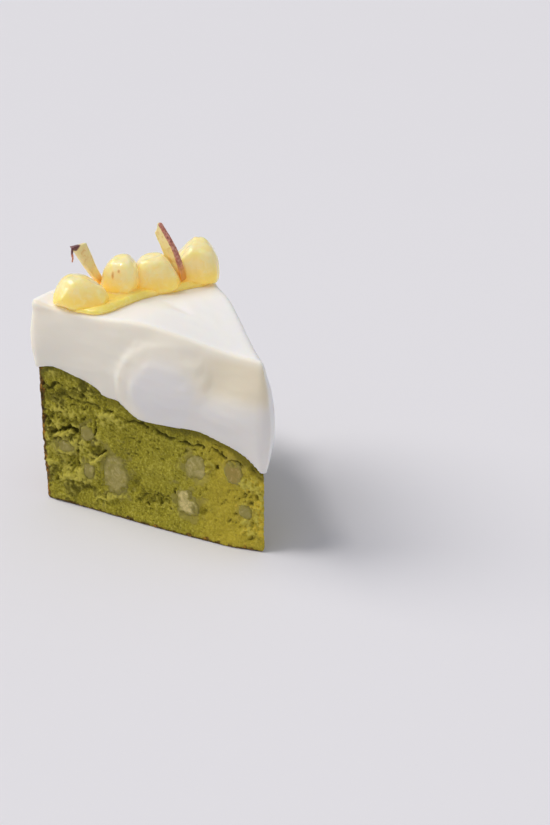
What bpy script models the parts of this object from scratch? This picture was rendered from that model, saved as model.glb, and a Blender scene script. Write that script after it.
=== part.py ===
"""A wedge of green baked cheesecake under a thick cap of cream, topped with cooked fruit.

The wedge stands on its flat base with its tip towards -Y and its baked rim towards +Y. Shapes are
worked out in millimetres from the virtual corner where the two cut faces would meet, and are turned
into metres when a mesh is made.
"""
import random
from bisect import bisect_right
from dataclasses import dataclass
from math import atan2, cos, degrees, hypot, pi, radians, sin

import bmesh
import bpy
from mathutils import Vector, noise

# Driving dimensions, in millimetres and degrees
MM = 0.001
CAKE_RADIUS = 90.0
WEDGE_ANGLE = 48.0
GAP = 0.3

CAKE_TIP_ROUND = 0.5
CAKE_CORNER_ROUND = 1.6
CAKE_FOOT_INSET = 0.4
CAKE_FOOT_HEIGHT = 1.2
CAKE_LAYERS = 15
SIDE_STEPS = 30
ARC_STEPS = 20
CORNER_STEPS = 3
TIP_STEPS = 4

# Height of the baked cheesecake and of the cream against the distance from the tip
CAKE_TOP = ((0, 29.8), (3, 32.4), (7, 35.8), (11, 37.8), (17, 39.6), (24, 41.3), (36, 40.8), (46, 40.6),
            (51, 42.3), (56, 46.0), (62, 46.6), (66, 49.8), (74, 52.0), (83, 53.8), (92, 51.2))
CREAM_TOP = ((0, 70.6), (12, 71.2), (24, 73.1), (36, 75.1), (48, 76.2), (62, 75.0), (80, 75.4), (92, 77.8))

# Cream: how far it swells beyond the cut faces, and the thick smear on the front
CREAM_FOOT_PROUD = 1.25
CREAM_SWELL = 1.35
CREAM_TIP_SWELL = 1.9
CREAM_TIP_REACH = 17.0
CREAM_EDGE_DROP = 0.9
CREAM_EDGE_IN = 0.95
CREAM_EDGE_EASE = 0.13
CREAM_TOP_RINGS = (0.93, 0.8, 0.6, 0.36)
CREAM_SWELL_HEIGHT = 0.35
CREAM_SWELL_WAVE = 26.0
CREAM_SIDE_WAVE = 17.0
CREAM_SIDE_UNEVEN = 0.4
CREAM_SIDE_EASE = 0.2
CREAM_LAYERS = 9
LOBE_CENTRE = (36.5, 51.5)
LOBE_RADIUS = 19.0
LOBE_SHELF = 57.5
LOBE_INNER_RADIUS = 12.8
LOBE_THICK = 1.5
LOBE_INNER_THICK = 0.7
LOBE_EDGE = 3.6
LOBE_FOOT_SHARE = 0.25
LOBE_FOOT_EASE = 0.4
LOBE_TOP_EASE = 0.15

# Slump: how far the soft foot of each cut face bulges out, and up to what height
SLUMP_FRONT = 2.2
SLUMP_BACK = 1.0
SLUMP_HEIGHT = 9.0
SLUMP_TIP_EASE = 14.0
SLUMP_RIM_EASE = 60.0

# Crumb relief of the cut faces and creases of the baked rim
CRUMB_OUT = 0.5
CRUMB_FINE_OUT = 0.33
CRUMB_WAVE = 6.5
CRUMB_FINE_WAVE = 3.1
CRUMB_END_EASE = 6.0
CRUMB_FOOT_EASE = 3.0
CRUMB_TOP_EASE = 0.12
PIT_LIP = 1.25
RIM_WAVE = 9.0
RIM_CREASE_LENGTH = 40.0
RIM_DEPTH = 0.6

# Syrup: a shallow pool from side to side along the rim
SYRUP_CENTRE_RADIUS = 71.5
SYRUP_HALF_WIDTH = 9.6
SYRUP_SIDE_MARGIN = 0.5
SYRUP_THICK = 2.3
SYRUP_FLOOR = 0.9
SYRUP_POINTS = 36
SYRUP_SQUARENESS = 5
SYRUP_UNEVEN = 0.1
SYRUP_UNEVEN_BUMPS = 2.2
# Rings of the syrup's cross section from below: share of its width, and of its thickness
SYRUP_SECTION = ((0.5, 0.0), (0.95, 0.0), (1.0, 0.45), (0.9, 1.0), (0.5, 1.0))

# Pieces of fruit: reach of their corners, unevenness, and how much of a chunk lies below its middle
PIECE_CORNER = 0.86
PIECE_UNEVEN = 0.05
PIECE_BUMPS = 1.7
PIECE_TOP_TILT = (4.0, 12.0)
PIECE_SIDE_TURN = 14.0
PIECE_SIDE_TILT = 6.0
PIECE_CORNER_TURN = 12.0
PIECE_CORNER_TILT = (2.0, 24.0)
CHUNK_SOLE = 0.42
CHUNK_MESH = (18, 11)

# Thin slices: steps along and across, waviness, and how much thinner the edge without peel is
SLICE_MESH = (10, 4)
SLICE_WAVE = 0.25
SLICE_WAVES = (3.0, 2.0)
SLICE_END_EASE = 0.25
SLICE_THINNING = 0.35

# Baked-in fruit: how far its cut lies behind the knife's plane, and its middle as a share of its depth
FILLING_SUNK = 0.1
FILLING_SINK = 0.3
FILLING_SHARPNESS = 4.5
FILLING_MESH = (10, 7)

INNER_RINGS = (0.84, 0.62, 0.36)
CENTRE_OF_RINGS = (0.0, 58.0)


@dataclass(frozen=True)
class Pit:
    """A hollow torn in a cut face: place along and up the face, half sizes and depth."""

    along: float
    height: float
    half_length: float
    half_height: float
    depth: float


FRONT_PITS = (Pit(78.0, 18.0, 4.6, 4.6, 2.6), Pit(78.5, 29.8, 5.2, 1.8, 1.7),
              Pit(51.0, 14.8, 3.2, 3.0, 1.5), Pit(66.0, 24.2, 3.4, 2.0, 1.4), Pit(41.6, 9.4, 5.6, 1.8, 1.6),
              Pit(24.4, 9.8, 2.8, 2.6, 1.2), Pit(67.5, 36.5, 1.6, 4.0, 1.2), Pit(18.4, 27.8, 1.6, 2.0, 1.2))
BACK_PITS = (Pit(72.0, 34.0, 4.8, 2.2, 1.8), Pit(60.0, 10.0, 4.0, 2.6, 2.0), Pit(41.0, 31.0, 3.0, 3.4, 1.7),
             Pit(27.0, 12.0, 4.4, 1.8, 1.4), Pit(81.0, 14.0, 2.4, 4.4, 1.6))


@dataclass(frozen=True)
class Chunk:
    """A piece of cooked fruit standing in the syrup: foot centre, size, turn, slope of its sides.

    A facet is one more flat side: its compass angle, upward slope and distance from the middle.
    """

    at: tuple
    size: tuple
    turn: float
    taper: float
    sharpness: float
    seed: int
    facets: tuple = ()


CHUNKS = (Chunk((-24.0, 70.9), (19.6, 13.2, 10.0), -32.0, 10.0, 4.6, 3, ((146, 40, 7.6), (-20, 34, 8.4))),
          Chunk((-7.2, 70.6), (12.4, 12.0, 14.8), 20.0, 3.0, 3.7, 8, ((170, 50, 7.4),)),
          Chunk((5.2, 68.0), (16.4, 12.6, 13.8), -36.0, 9.0, 4.2, 5, ((150, 38, 7.6), (-60, 55, 6.8))),
          Chunk((21.0, 65.4), (16.8, 12.6, 15.6), -34.0, 2.0, 7.0, 12, ((143, 46, 6.8), (-100, 50, 7.6))))


@dataclass(frozen=True)
class FruitSlice:
    """A thin slice of fruit standing on the syrup.

    Its peel edge runs from the foot by the run, bowed outwards; the flesh lies behind that edge,
    and the end share is how much of its width is left at the very top.
    """

    foot: tuple
    run: tuple
    peel_side: float
    width_foot: float
    width_top: float
    end_share: float
    thick_foot: float
    thick_top: float
    bow: float


SLICES = (FruitSlice((-12.4, 76.2), (-10.9, -0.9, 16.9), 190.0, 2.6, 6.2, 1.0, 2.5, 2.1, 0.5),
          FruitSlice((14.2, 62.6), (-5.8, 5.2, 21.0), -78.0, 6.6, 6.4, 0.2, 2.6, 1.3, 2.0))


@dataclass(frozen=True)
class Filling:
    """A piece of fruit baked into the cheesecake and cut through: place on the face, size, depth."""

    along: float
    height: float
    length: float
    tall: float
    depth: float
    seed: int


FRONT_FILLING = (Filling(58.8, 16.3, 11.1, 15.9, 5.0, 21), Filling(70.3, 29.9, 6.1, 5.9, 3.6, 22),
                 Filling(79.9, 23.0, 9.8, 4.9, 3.4, 23), Filling(30.3, 12.0, 10.0, 10.1, 4.6, 24),
                 Filling(26.5, 26.5, 8.5, 10.1, 4.2, 25), Filling(11.8, 28.0, 8.1, 8.9, 2.4, 26),
                 Filling(7.6, 14.2, 7.6, 5.8, 1.3, 27), Filling(70.2, 15.3, 5.1, 6.7, 3.4, 28))
BACK_FILLING = (Filling(63.0, 24.0, 10.6, 9.5, 4.6, 31), Filling(45.0, 16.0, 8.5, 12.7, 4.4, 32),
                Filling(78.0, 40.0, 7.4, 5.9, 3.6, 33), Filling(21.0, 24.0, 9.1, 6.8, 2.8, 34),
                Filling(34.0, 6.4, 6.6, 5.3, 3.2, 35))

HALF_ANGLE = radians(WEDGE_ANGLE / 2)
FRONT_ALONG = (-sin(HALF_ANGLE), cos(HALF_ANGLE))
FRONT_OUT = (-cos(HALF_ANGLE), -sin(HALF_ANGLE))
BACK_ALONG = (sin(HALF_ANGLE), cos(HALF_ANGLE))
BACK_OUT = (cos(HALF_ANGLE), -sin(HALF_ANGLE))

# Surface finish of each kind of piece: colour as linear RGB, and roughness
FINISHES = {"matcha_cheesecake": ((0.21, 0.19, 0.027), 0.8),
            "whipped_cream": ((0.8, 0.77, 0.73), 0.45),
            "compote_syrup": ((0.77, 0.56, 0.12), 0.12),
            "compote_fruit": ((0.78, 0.63, 0.26), 0.25),
            "peeled_slice": ((0.68, 0.5, 0.23), 0.4),
            "baked_fruit": ((0.3, 0.27, 0.09), 0.6)}


def smooth(value):
    """Ease from 0 to 1 as the value goes from 0 to 1."""
    held = min(1.0, max(0.0, value))
    return held * held * (3 - 2 * held)


def profile(points, distance):
    """Height of a profile at a distance, on a smooth curve through its points."""
    places = [p[0] for p in points]
    i = min(max(bisect_right(places, distance) - 1, 0), len(points) - 2)
    before = points[max(i - 1, 0)]
    start = points[i]
    end = points[i + 1]
    after = points[min(i + 2, len(points) - 1)]
    span = end[0] - start[0]
    t = min(max((distance - start[0]) / span, 0.0), 1.0)
    slope_start = (end[1] - before[1]) / (end[0] - before[0]) * span
    slope_end = (after[1] - start[1]) / (after[0] - start[0]) * span
    return ((2 * t**3 - 3 * t**2 + 1) * start[1] + (t**3 - 2 * t**2 + t) * slope_start
            + (3 * t**2 - 2 * t**3) * end[1] + (t**3 - t**2) * slope_end)


def cake_top(x, y):
    """Height of the baked top at a point of the plan."""
    return profile(CAKE_TOP, hypot(x, y))


def cream_top(x, y):
    """Height of the cream's top at a point of the plan, with a low swell across it."""
    swell = CREAM_SWELL_HEIGHT * noise.noise(Vector((x / CREAM_SWELL_WAVE, y / CREAM_SWELL_WAVE, 4.1)))
    return profile(CREAM_TOP, hypot(x, y)) + swell


@dataclass(frozen=True)
class EdgePoint:
    """A point of the wedge's plan: place, outward direction, face and distance along that face."""

    x: float
    y: float
    out: tuple
    face: str
    along: float


def arc_points(centre, radius, start, end, steps, face, along):
    """Points on an arc of the plan from one outward direction to another, in degrees."""
    points = []
    for i in range(steps + 1):
        angle = radians(start + (end - start) * i / steps)
        out = (cos(angle), sin(angle))
        points.append(EdgePoint(centre[0] + radius * out[0], centre[1] + radius * out[1], out, face, along))
    return points


def side_points(start, end, out, face):
    """Points between two ends of a cut face, both ends left out."""
    points = []
    for i in range(1, SIDE_STEPS):
        x = start.x + (end.x - start.x) * i / SIDE_STEPS
        y = start.y + (end.y - start.y) * i / SIDE_STEPS
        points.append(EdgePoint(x, y, out, face, hypot(x, y)))
    return points


def wedge_plan():
    """The wedge's plan, counterclockwise from the tip's back side round to its front side."""
    half = degrees(HALF_ANGLE)
    tip_centre = (0.0, CAKE_TIP_ROUND / sin(HALF_ANGLE))
    inset = CAKE_RADIUS - CAKE_CORNER_ROUND
    turn = half - degrees(atan2(CAKE_CORNER_ROUND, inset))
    corner_back = (inset * sin(radians(turn)), inset * cos(radians(turn)))
    corner_front = (-corner_back[0], corner_back[1])
    tip = arc_points(tip_centre, CAKE_TIP_ROUND, 180 + half, 360 - half, TIP_STEPS, "tip", 0.0)
    back_corner = arc_points(corner_back, CAKE_CORNER_ROUND, -half, 90 - turn, CORNER_STEPS, "back_corner",
                             CAKE_RADIUS)
    rim = arc_points((0.0, 0.0), CAKE_RADIUS, 90 - turn, 90 + turn, ARC_STEPS, "rim", CAKE_RADIUS)
    front_corner = arc_points(corner_front, CAKE_CORNER_ROUND, 90 + turn, 180 + half, CORNER_STEPS,
                              "front_corner", CAKE_RADIUS)
    back = side_points(tip[-1], back_corner[0], BACK_OUT, "back")
    front = side_points(front_corner[-1], tip[0], FRONT_OUT, "front")
    return tip + back + back_corner + rim[1:-1] + front_corner + front


def foot_slump(edge, z):
    """How far the soft foot of a cut face bulges out at a height, most a third of the way along."""
    if edge.face not in ("front", "back"):
        return 0.0
    most = SLUMP_FRONT if edge.face == "front" else SLUMP_BACK
    near_foot = max(0.0, 1 - z / SLUMP_HEIGHT) ** 2
    tip_ease = smooth(edge.along / SLUMP_TIP_EASE)
    return most * near_foot * tip_ease * smooth((CAKE_RADIUS - edge.along) / SLUMP_RIM_EASE)


def crumb_relief(edge, x, y, z, share):
    """How far the baked face stands out or in at a point; share is the height from foot to top."""
    edge_fade = smooth((1 - share) / CRUMB_TOP_EASE) * smooth(z / CRUMB_FOOT_EASE)
    if edge.face == "rim":
        crease = noise.noise(Vector((x / RIM_WAVE, y / RIM_WAVE, z / RIM_CREASE_LENGTH)))
        return RIM_DEPTH * crease * edge_fade
    if edge.face.endswith("corner") or edge.face == "tip":
        return 0.0
    end_fade = smooth((CAKE_RADIUS - edge.along) / CRUMB_END_EASE) * smooth(edge.along / CRUMB_END_EASE)
    coarse = noise.noise(Vector((x / CRUMB_WAVE, y / CRUMB_WAVE, z / CRUMB_WAVE)))
    fine = noise.noise(Vector((x, y, z)) / CRUMB_FINE_WAVE)
    relief = (CRUMB_OUT * coarse + CRUMB_FINE_OUT * fine) * edge_fade * end_fade
    for pit in FRONT_PITS if edge.face == "front" else BACK_PITS:
        reach = hypot((edge.along - pit.along) / pit.half_length, (z - pit.height) / pit.half_height)
        relief -= pit.depth * smooth(PIT_LIP - reach)
    return relief


def lobe_share(edge, z):
    """Share of the thick smear of cream at a point, and share of its raised middle."""
    along = edge.along
    if edge.face != "front":
        return 0.0, 0.0
    reach = hypot(along - LOBE_CENTRE[0], z - LOBE_CENTRE[1])
    tip_fade = smooth(along / CREAM_TIP_REACH)
    in_round = (LOBE_RADIUS - reach) / LOBE_EDGE
    in_shelf = min((LOBE_SHELF - z) / (2 * LOBE_EDGE), (LOBE_CENTRE[0] + LOBE_RADIUS - along) / LOBE_EDGE)
    middle_round = (LOBE_INNER_RADIUS - reach) / LOBE_EDGE
    middle_end = (LOBE_CENTRE[0] + LOBE_INNER_RADIUS - along) / LOBE_EDGE
    middle_below = min((LOBE_CENTRE[1] - z) / LOBE_EDGE, middle_end)
    whole = smooth(max(in_round, in_shelf) + 0.5)
    return tip_fade * whole, tip_fade * smooth(max(middle_round, middle_below) + 0.5)


def cream_proud(edge, z, share):
    """How far the cream stands out from the wedge's plan at a height."""
    thick, middle = lobe_share(edge, z)
    tip_share = smooth(1 - edge.along / CREAM_TIP_REACH)
    bulge = (CREAM_SWELL + CREAM_TIP_SWELL * tip_share) * sin(pi * min(max(share, 0.0), 1.0))
    place = Vector((edge.x, edge.y, z)) / CREAM_SIDE_WAVE
    ends = smooth(share / CREAM_SIDE_EASE) * smooth((1 - share) / CREAM_SIDE_EASE)
    wave = CREAM_SIDE_UNEVEN * noise.noise(place) * ends
    lobe = (LOBE_THICK * thick + LOBE_INNER_THICK * middle) * smooth((1 - share) / LOBE_TOP_EASE)
    lobe *= LOBE_FOOT_SHARE + (1 - LOBE_FOOT_SHARE) * smooth(share / LOBE_FOOT_EASE)
    return CREAM_FOOT_PROUD * (1 - share) + bulge + wave + lobe


def towards_centre(x, y, scale):
    """A point of the plan drawn in towards the middle of the rings."""
    return (CENTRE_OF_RINGS[0] + (x - CENTRE_OF_RINGS[0]) * scale,
            CENTRE_OF_RINGS[1] + (y - CENTRE_OF_RINGS[1]) * scale)


def skin(first, rings, last, mirrored=0):
    """Vertices and triangles of a closed shell: a first point, rings round it and a last point.

    The strips below that many first rings are split along their other diagonal.
    """
    count = len(rings[0])
    verts = [first] + [point for ring in rings for point in ring] + [last]
    faces = []
    for i in range(count):
        j = (i + 1) % count
        faces.append((0, 1 + j, 1 + i))
        for k in range(len(rings) - 1):
            low = 1 + k * count
            high = low + count
            if k < mirrored:
                faces += [(low + i, low + j, high + i), (low + j, high + j, high + i)]
            else:
                faces += [(low + i, low + j, high + j), (low + i, high + j, high + i)]
        top = 1 + (len(rings) - 1) * count
        faces.append((top + i, top + j, len(verts) - 1))
    return verts, faces


def mesh_object(name, verts, faces, finish, origin):
    """An object in metres from vertices in millimetres, shaded smooth and parented to the origin."""
    mesh = bpy.data.meshes.new(name)
    mesh.from_pydata([Vector(v) * MM for v in verts], [], faces)
    mesh.shade_smooth()
    mesh.set_sharp_from_angle(angle=radians(50))
    thing = bpy.data.objects.new(name, mesh)
    bpy.context.scene.collection.objects.link(thing)
    thing.parent = origin
    thing.data.materials.append(finish_material(finish))
    return thing


def finish_material(name):
    """The Principled material of a finish, made once."""
    material = bpy.data.materials.get(name)
    if material is None:
        colour, roughness = FINISHES[name]
        material = bpy.data.materials.new(name)
        material.use_nodes = True
        shader = material.node_tree.nodes["Principled BSDF"]
        shader.inputs["Base Color"].default_value = (*colour, 1.0)
        shader.inputs["Roughness"].default_value = roughness
        shader.inputs["Metallic"].default_value = 0.0
    return material


def subtract(target, cutters):
    """Cut other closed meshes, which may cross each other, out of an object and keep the result."""
    rooms = bpy.data.collections.new("rooms")
    for cutter in cutters:
        rooms.objects.link(cutter)
    cut = target.modifiers.new("cut", "BOOLEAN")
    cut.operation = "DIFFERENCE"
    cut.solver = "EXACT"
    cut.operand_type = "COLLECTION"
    cut.collection = rooms
    graph = bpy.context.evaluated_depsgraph_get()
    mesh = bpy.data.meshes.new_from_object(target.evaluated_get(graph))
    target.modifiers.clear()
    target.data = mesh
    bpy.data.collections.remove(rooms)


def as_cutter(thing):
    """Mark an object as one that only cuts others."""
    thing.hide_render = True
    thing.display_type = "WIRE"
    return thing


def remove_cutters(cutters):
    """Remove cutters once they have been used."""
    for cutter in cutters:
        bpy.data.objects.remove(cutter)


def build_cake(plan, origin):
    """The baked body: torn cut faces, a creased rim, a flat base and a sunken top."""
    foot = []
    for e in plan:
        out = foot_slump(e, 0.0) - CAKE_FOOT_INSET
        foot.append((e.x + e.out[0] * out, e.y + e.out[1] * out, 0.0))
    rings = [foot]
    for k in range(CAKE_LAYERS):
        ring = []
        for e in plan:
            share = k / (CAKE_LAYERS - 1)
            z = CAKE_FOOT_HEIGHT + (cake_top(e.x, e.y) - CAKE_FOOT_HEIGHT) * share
            out = crumb_relief(e, e.x, e.y, z, share) + foot_slump(e, z)
            ring.append((e.x + e.out[0] * out, e.y + e.out[1] * out, z))
        rings.append(ring)
    for scale in INNER_RINGS:
        ring = []
        for e in plan:
            x, y = towards_centre(e.x, e.y, scale)
            ring.append((x, y, cake_top(x, y)))
        rings.append(ring)
    x, y = CENTRE_OF_RINGS
    verts, faces = skin((x, y, 0.0), rings, (x, y, cake_top(x, y)))
    return mesh_object("cheesecake", verts, faces, "matcha_cheesecake", origin)


def build_cream(plan, origin):
    """The cream cap: it follows the baked top, swells past the cut faces and carries the smear."""
    x, y = CENTRE_OF_RINGS
    rings = []
    for scale in reversed(INNER_RINGS):
        inner = [towards_centre(e.x, e.y, scale) for e in plan]
        rings.append([(p[0], p[1], cake_top(*p) + GAP) for p in inner])
    rings.append([(e.x, e.y, cake_top(e.x, e.y) + GAP) for e in plan])
    for k in range(CREAM_LAYERS):
        share = k / (CREAM_LAYERS - 1)
        ring = []
        for e in plan:
            foot = cake_top(e.x, e.y) + GAP
            head = cream_top(e.x, e.y) - CREAM_EDGE_DROP
            z = foot + (head - foot) * share
            out = cream_proud(e, z, share)
            ring.append((e.x + e.out[0] * out, e.y + e.out[1] * out, z))
        rings.append(ring)
    rings.append([(e.x - e.out[0] * CREAM_EDGE_IN, e.y - e.out[1] * CREAM_EDGE_IN,
                   cream_top(e.x, e.y) - CREAM_EDGE_EASE) for e in plan])
    for scale in CREAM_TOP_RINGS:
        inner = [towards_centre(e.x, e.y, scale) for e in plan]
        rings.append([(p[0], p[1], cream_top(*p)) for p in inner])
    verts, faces = skin((x, y, cake_top(x, y) + GAP), rings, (x, y, cream_top(x, y)), len(INNER_RINGS))
    return mesh_object("cream_cap", verts, faces, "whipped_cream", origin)


def direction(compass, slope):
    """Unit vector at a compass angle in the plan and a slope up from it, in degrees."""
    level = cos(radians(slope))
    return Vector((cos(radians(compass)) * level, sin(radians(compass)) * level, sin(radians(slope))))


def rounded_piece(size, turn, taper, sharpness, seed, mesh_size, facets, grow):
    """Points and faces of a soft-cornered piece: a sphere drawn in to a few random flat sides.

    Growing it moves each of those sides outwards, which makes the room that the piece needs.
    """
    draw = random.Random(seed)
    half = [s / 2 for s in size]
    corner = PIECE_CORNER * hypot(half[0], half[1])
    planes = [(0.0, 90.0 - draw.uniform(*PIECE_TOP_TILT), half[2]), (0.0, -90.0, half[2])]
    for k in range(4):
        side = turn + k * 90 + draw.uniform(-PIECE_SIDE_TURN, PIECE_SIDE_TURN)
        planes.append((side, taper + draw.uniform(-PIECE_SIDE_TILT, PIECE_SIDE_TILT), half[k % 2]))
        diagonal = turn + k * 90 + 45 + draw.uniform(-PIECE_CORNER_TURN, PIECE_CORNER_TURN)
        planes.append((diagonal, taper + draw.uniform(*PIECE_CORNER_TILT), corner))
    planes += facets
    normals = [(direction(compass, slope), reach + grow) for compass, slope, reach in planes]
    ball = bmesh.new()
    bmesh.ops.create_uvsphere(ball, u_segments=mesh_size[0], v_segments=mesh_size[1], radius=1.0)
    bmesh.ops.triangulate(ball, faces=ball.faces[:])
    verts = []
    for v in ball.verts:
        way = v.co.normalized()
        draw_in = sum(max(0.0, way.dot(n) / h) ** sharpness for n, h in normals) ** (-1 / sharpness)
        bump = 1 + PIECE_UNEVEN * noise.noise(way * PIECE_BUMPS + Vector((seed, 0, 0)))
        verts.append(way * draw_in * bump)
    faces = [tuple(v.index for v in f.verts) for f in ball.faces]
    ball.free()
    return verts, faces


def build_chunk(name, chunk, grow, origin):
    """One piece of compote fruit, its foot cut flat to stand in the syrup."""
    verts, faces = rounded_piece(chunk.size, chunk.turn, chunk.taper, chunk.sharpness, chunk.seed,
                                 CHUNK_MESH, list(chunk.facets), grow)
    foot = cream_top(*chunk.at) + GAP + SYRUP_FLOOR
    sole = -CHUNK_SOLE * chunk.size[2]
    placed = [(chunk.at[0] + v.x, chunk.at[1] + v.y, foot + max(v.z, sole - grow) - sole) for v in verts]
    return mesh_object(name, placed, faces, "compote_fruit", origin)


def build_slice(name, piece, grow, origin):
    """A thin slice as a bowed sheet with both faces split alike, its peel edge outermost."""
    along_steps, across_steps = SLICE_MESH
    peel_way = direction(piece.peel_side, 0.0)
    run = Vector(piece.run)
    face_way = run.cross(peel_way).normalized()
    foot = Vector((*piece.foot, cream_top(*piece.foot) + SYRUP_THICK + 2 * GAP))
    verts = []
    for face in (1, -1):
        for i in range(along_steps + 1):
            t = i / along_steps
            narrow = piece.end_share + (1 - piece.end_share) * smooth((1 - t) / SLICE_END_EASE)
            width = (piece.width_foot + (piece.width_top - piece.width_foot) * t) * narrow
            thick = piece.thick_foot + (piece.thick_top - piece.thick_foot) * t
            reach = run * t + run.normalized() * grow * (2 * t - 1)
            spine = foot + reach + peel_way * (piece.bow * sin(pi * t) + grow)
            for j in range(across_steps + 1):
                across = j / across_steps
                place = Vector((t * SLICE_WAVES[0], across * SLICE_WAVES[1], piece.bow))
                wavy = SLICE_WAVE * noise.noise(place)
                edge_thin = 1 - SLICE_THINNING * (1 - across)
                place = spine - peel_way * (width + 2 * grow) * (1 - across)
                verts.append(place + face_way * (face * (thick * edge_thin / 2 + grow) + wavy))
    return mesh_object(name, verts, slice_faces(along_steps, across_steps), "peeled_slice", origin)


def slice_faces(along_steps, across_steps):
    """Triangles of a thin sheet: two faces split alike and a rim round them."""
    row = across_steps + 1
    layer = row * (along_steps + 1)
    faces = []
    for i in range(along_steps):
        for j in range(across_steps):
            a = i * row + j
            b = a + 1
            c = b + row
            d = a + row
            faces += [(a, c, b), (a, d, c)]
            faces += [(layer + a, layer + b, layer + c), (layer + a, layer + c, layer + d)]
    rim = [j for j in range(row)] + [i * row + across_steps for i in range(1, along_steps + 1)]
    rim += [along_steps * row + j for j in range(across_steps - 1, -1, -1)]
    rim += [i * row for i in range(along_steps - 1, 0, -1)]
    for k, a in enumerate(rim):
        b = rim[(k + 1) % len(rim)]
        faces += [(a, b, layer + b), (a, layer + b, layer + a)]
    return faces


def build_syrup(origin):
    """The syrup under the fruit: a shallow uneven band that ends short of both cut faces."""
    reach = WEDGE_ANGLE / 2 - degrees(SYRUP_SIDE_MARGIN / SYRUP_CENTRE_RADIUS)
    rings = []
    for scale, lift in SYRUP_SECTION:
        ring = []
        for i in range(SYRUP_POINTS):
            turn = 2 * pi * i / SYRUP_POINTS
            corner = abs(cos(turn)) ** SYRUP_SQUARENESS + abs(sin(turn)) ** SYRUP_SQUARENESS
            square = corner ** (-1 / SYRUP_SQUARENESS)
            place = Vector((cos(turn), sin(turn), 1.0)) * SYRUP_UNEVEN_BUMPS
            uneven = 1 + SYRUP_UNEVEN * noise.noise(place)
            angle = radians(90 - reach * scale * square * cos(turn))
            radius = SYRUP_CENTRE_RADIUS + SYRUP_HALF_WIDTH * scale * square * sin(turn) * uneven
            x = radius * cos(angle)
            y = radius * sin(angle)
            ring.append((x, y, cream_top(x, y) + GAP + SYRUP_THICK * lift))
        rings.append(ring)
    x = 0.0
    y = SYRUP_CENTRE_RADIUS
    low = cream_top(x, y) + GAP
    verts, faces = skin((x, y, low), rings, (x, y, low + SYRUP_THICK))
    return mesh_object("compote_syrup", verts, faces, "compote_syrup", origin)


def cut_flat(verts, faces, place, out):
    """Slice a closed piece off at a plane and close it there with one flat face."""
    body = bmesh.new()
    made = [body.verts.new(v) for v in verts]
    for face in faces:
        body.faces.new([made[i] for i in face])
    bmesh.ops.bisect_plane(body, geom=body.verts[:] + body.edges[:] + body.faces[:], plane_co=place,
                           plane_no=out, clear_outer=True)
    bmesh.ops.edgeloop_fill(body, edges=[e for e in body.edges if e.is_boundary])
    bmesh.ops.recalc_face_normals(body, faces=body.faces[:])
    body.verts.index_update()
    result = [v.co.copy() for v in body.verts], [tuple(v.index for v in f.verts) for f in body.faces]
    body.free()
    return result


def filling_shape(piece, along_way, out, grow):
    """Points and faces of a whole piece of baked-in fruit at its place in the cake."""
    size = (piece.length, 2 * piece.depth, piece.tall)
    verts, faces = rounded_piece(size, 0.0, 0.0, FILLING_SHARPNESS, piece.seed, FILLING_MESH, [], grow)
    if out is BACK_OUT:
        faces = [face[::-1] for face in faces]
    along_axis = Vector((*along_way, 0.0))
    out_axis = Vector((*out, 0.0))
    middle = along_axis * piece.along - out_axis * (FILLING_SINK * piece.depth)
    middle.z = piece.height
    return [middle + along_axis * v.x + out_axis * v.y + Vector((0.0, 0.0, v.z)) for v in verts], faces


def add_fillings(cake, origin):
    """Bake the cut pieces of fruit into the cake: each sits in a pocket with a hair's clearance."""
    pockets = []
    placed = [(FRONT_ALONG, FRONT_OUT, piece) for piece in FRONT_FILLING]
    placed += [(BACK_ALONG, BACK_OUT, piece) for piece in BACK_FILLING]
    for number, (along_way, out, piece) in enumerate(placed, 1):
        verts, faces = filling_shape(piece, along_way, out, GAP)
        pockets.append(as_cutter(mesh_object("pocket", verts, faces, "baked_fruit", origin)))
        verts, faces = filling_shape(piece, along_way, out, 0.0)
        face_out = Vector((*out, 0.0))
        verts, faces = cut_flat(verts, faces, face_out * -FILLING_SUNK, face_out)
        mesh_object(f"baked_fruit_{number}", verts, faces, "baked_fruit", origin)
    subtract(cake, pockets)
    remove_cutters(pockets)


def add_compote(origin):
    """Set the syrup, the fruit and the two slices, each cut clear of the ones already there."""
    rooms = []
    for number, piece in enumerate(SLICES, 1):
        build_slice(f"peeled_slice_{number}", piece, 0.0, origin)
        rooms.append(as_cutter(build_slice("slice_room", piece, GAP, origin)))
    for number, chunk in enumerate(CHUNKS, 1):
        subtract(build_chunk(f"fruit_chunk_{number}", chunk, 0.0, origin), rooms)
        rooms.append(as_cutter(build_chunk("chunk_room", chunk, GAP, origin)))
    subtract(build_syrup(origin), rooms)
    remove_cutters(rooms)


def centre_on_base(origin):
    """Move the origin so that the box of all pieces stands centred on it, its foot at zero."""
    corners = []
    for thing in bpy.context.scene.objects:
        if thing.type == "MESH":
            corners += [v.co for v in thing.data.vertices]
    low = [min(c[k] for c in corners) for k in range(3)]
    high = [max(c[k] for c in corners) for k in range(3)]
    origin.location = (-(low[0] + high[0]) / 2, -(low[1] + high[1]) / 2, -low[2])
    bpy.context.view_layer.update()


def main():
    """Build the whole slice."""
    for old in list(bpy.data.objects):
        bpy.data.objects.remove(old)
    origin = bpy.data.objects.new("slice_origin", None)
    bpy.context.scene.collection.objects.link(origin)
    plan = wedge_plan()
    add_fillings(build_cake(plan, origin), origin)
    build_cream(plan, origin)
    add_compote(origin)
    centre_on_base(origin)


if __name__ == "__main__":
    main()
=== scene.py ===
"""Looks of a wedge of green baked cheesecake under a cap of cream, with cooked fruit on top.

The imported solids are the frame. Each class takes one kind of solid, makes a fine skin from it, works
that skin as the knife, the spatula or the oven leaves it, and gives it its finish. Lengths are in
millimetres from the wedge's virtual tip, where the two cut faces would meet at the foot.
"""
from __future__ import annotations

import logging
import math
from dataclasses import dataclass, field
from enum import Enum, IntEnum
from itertools import product
from typing import ClassVar

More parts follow.
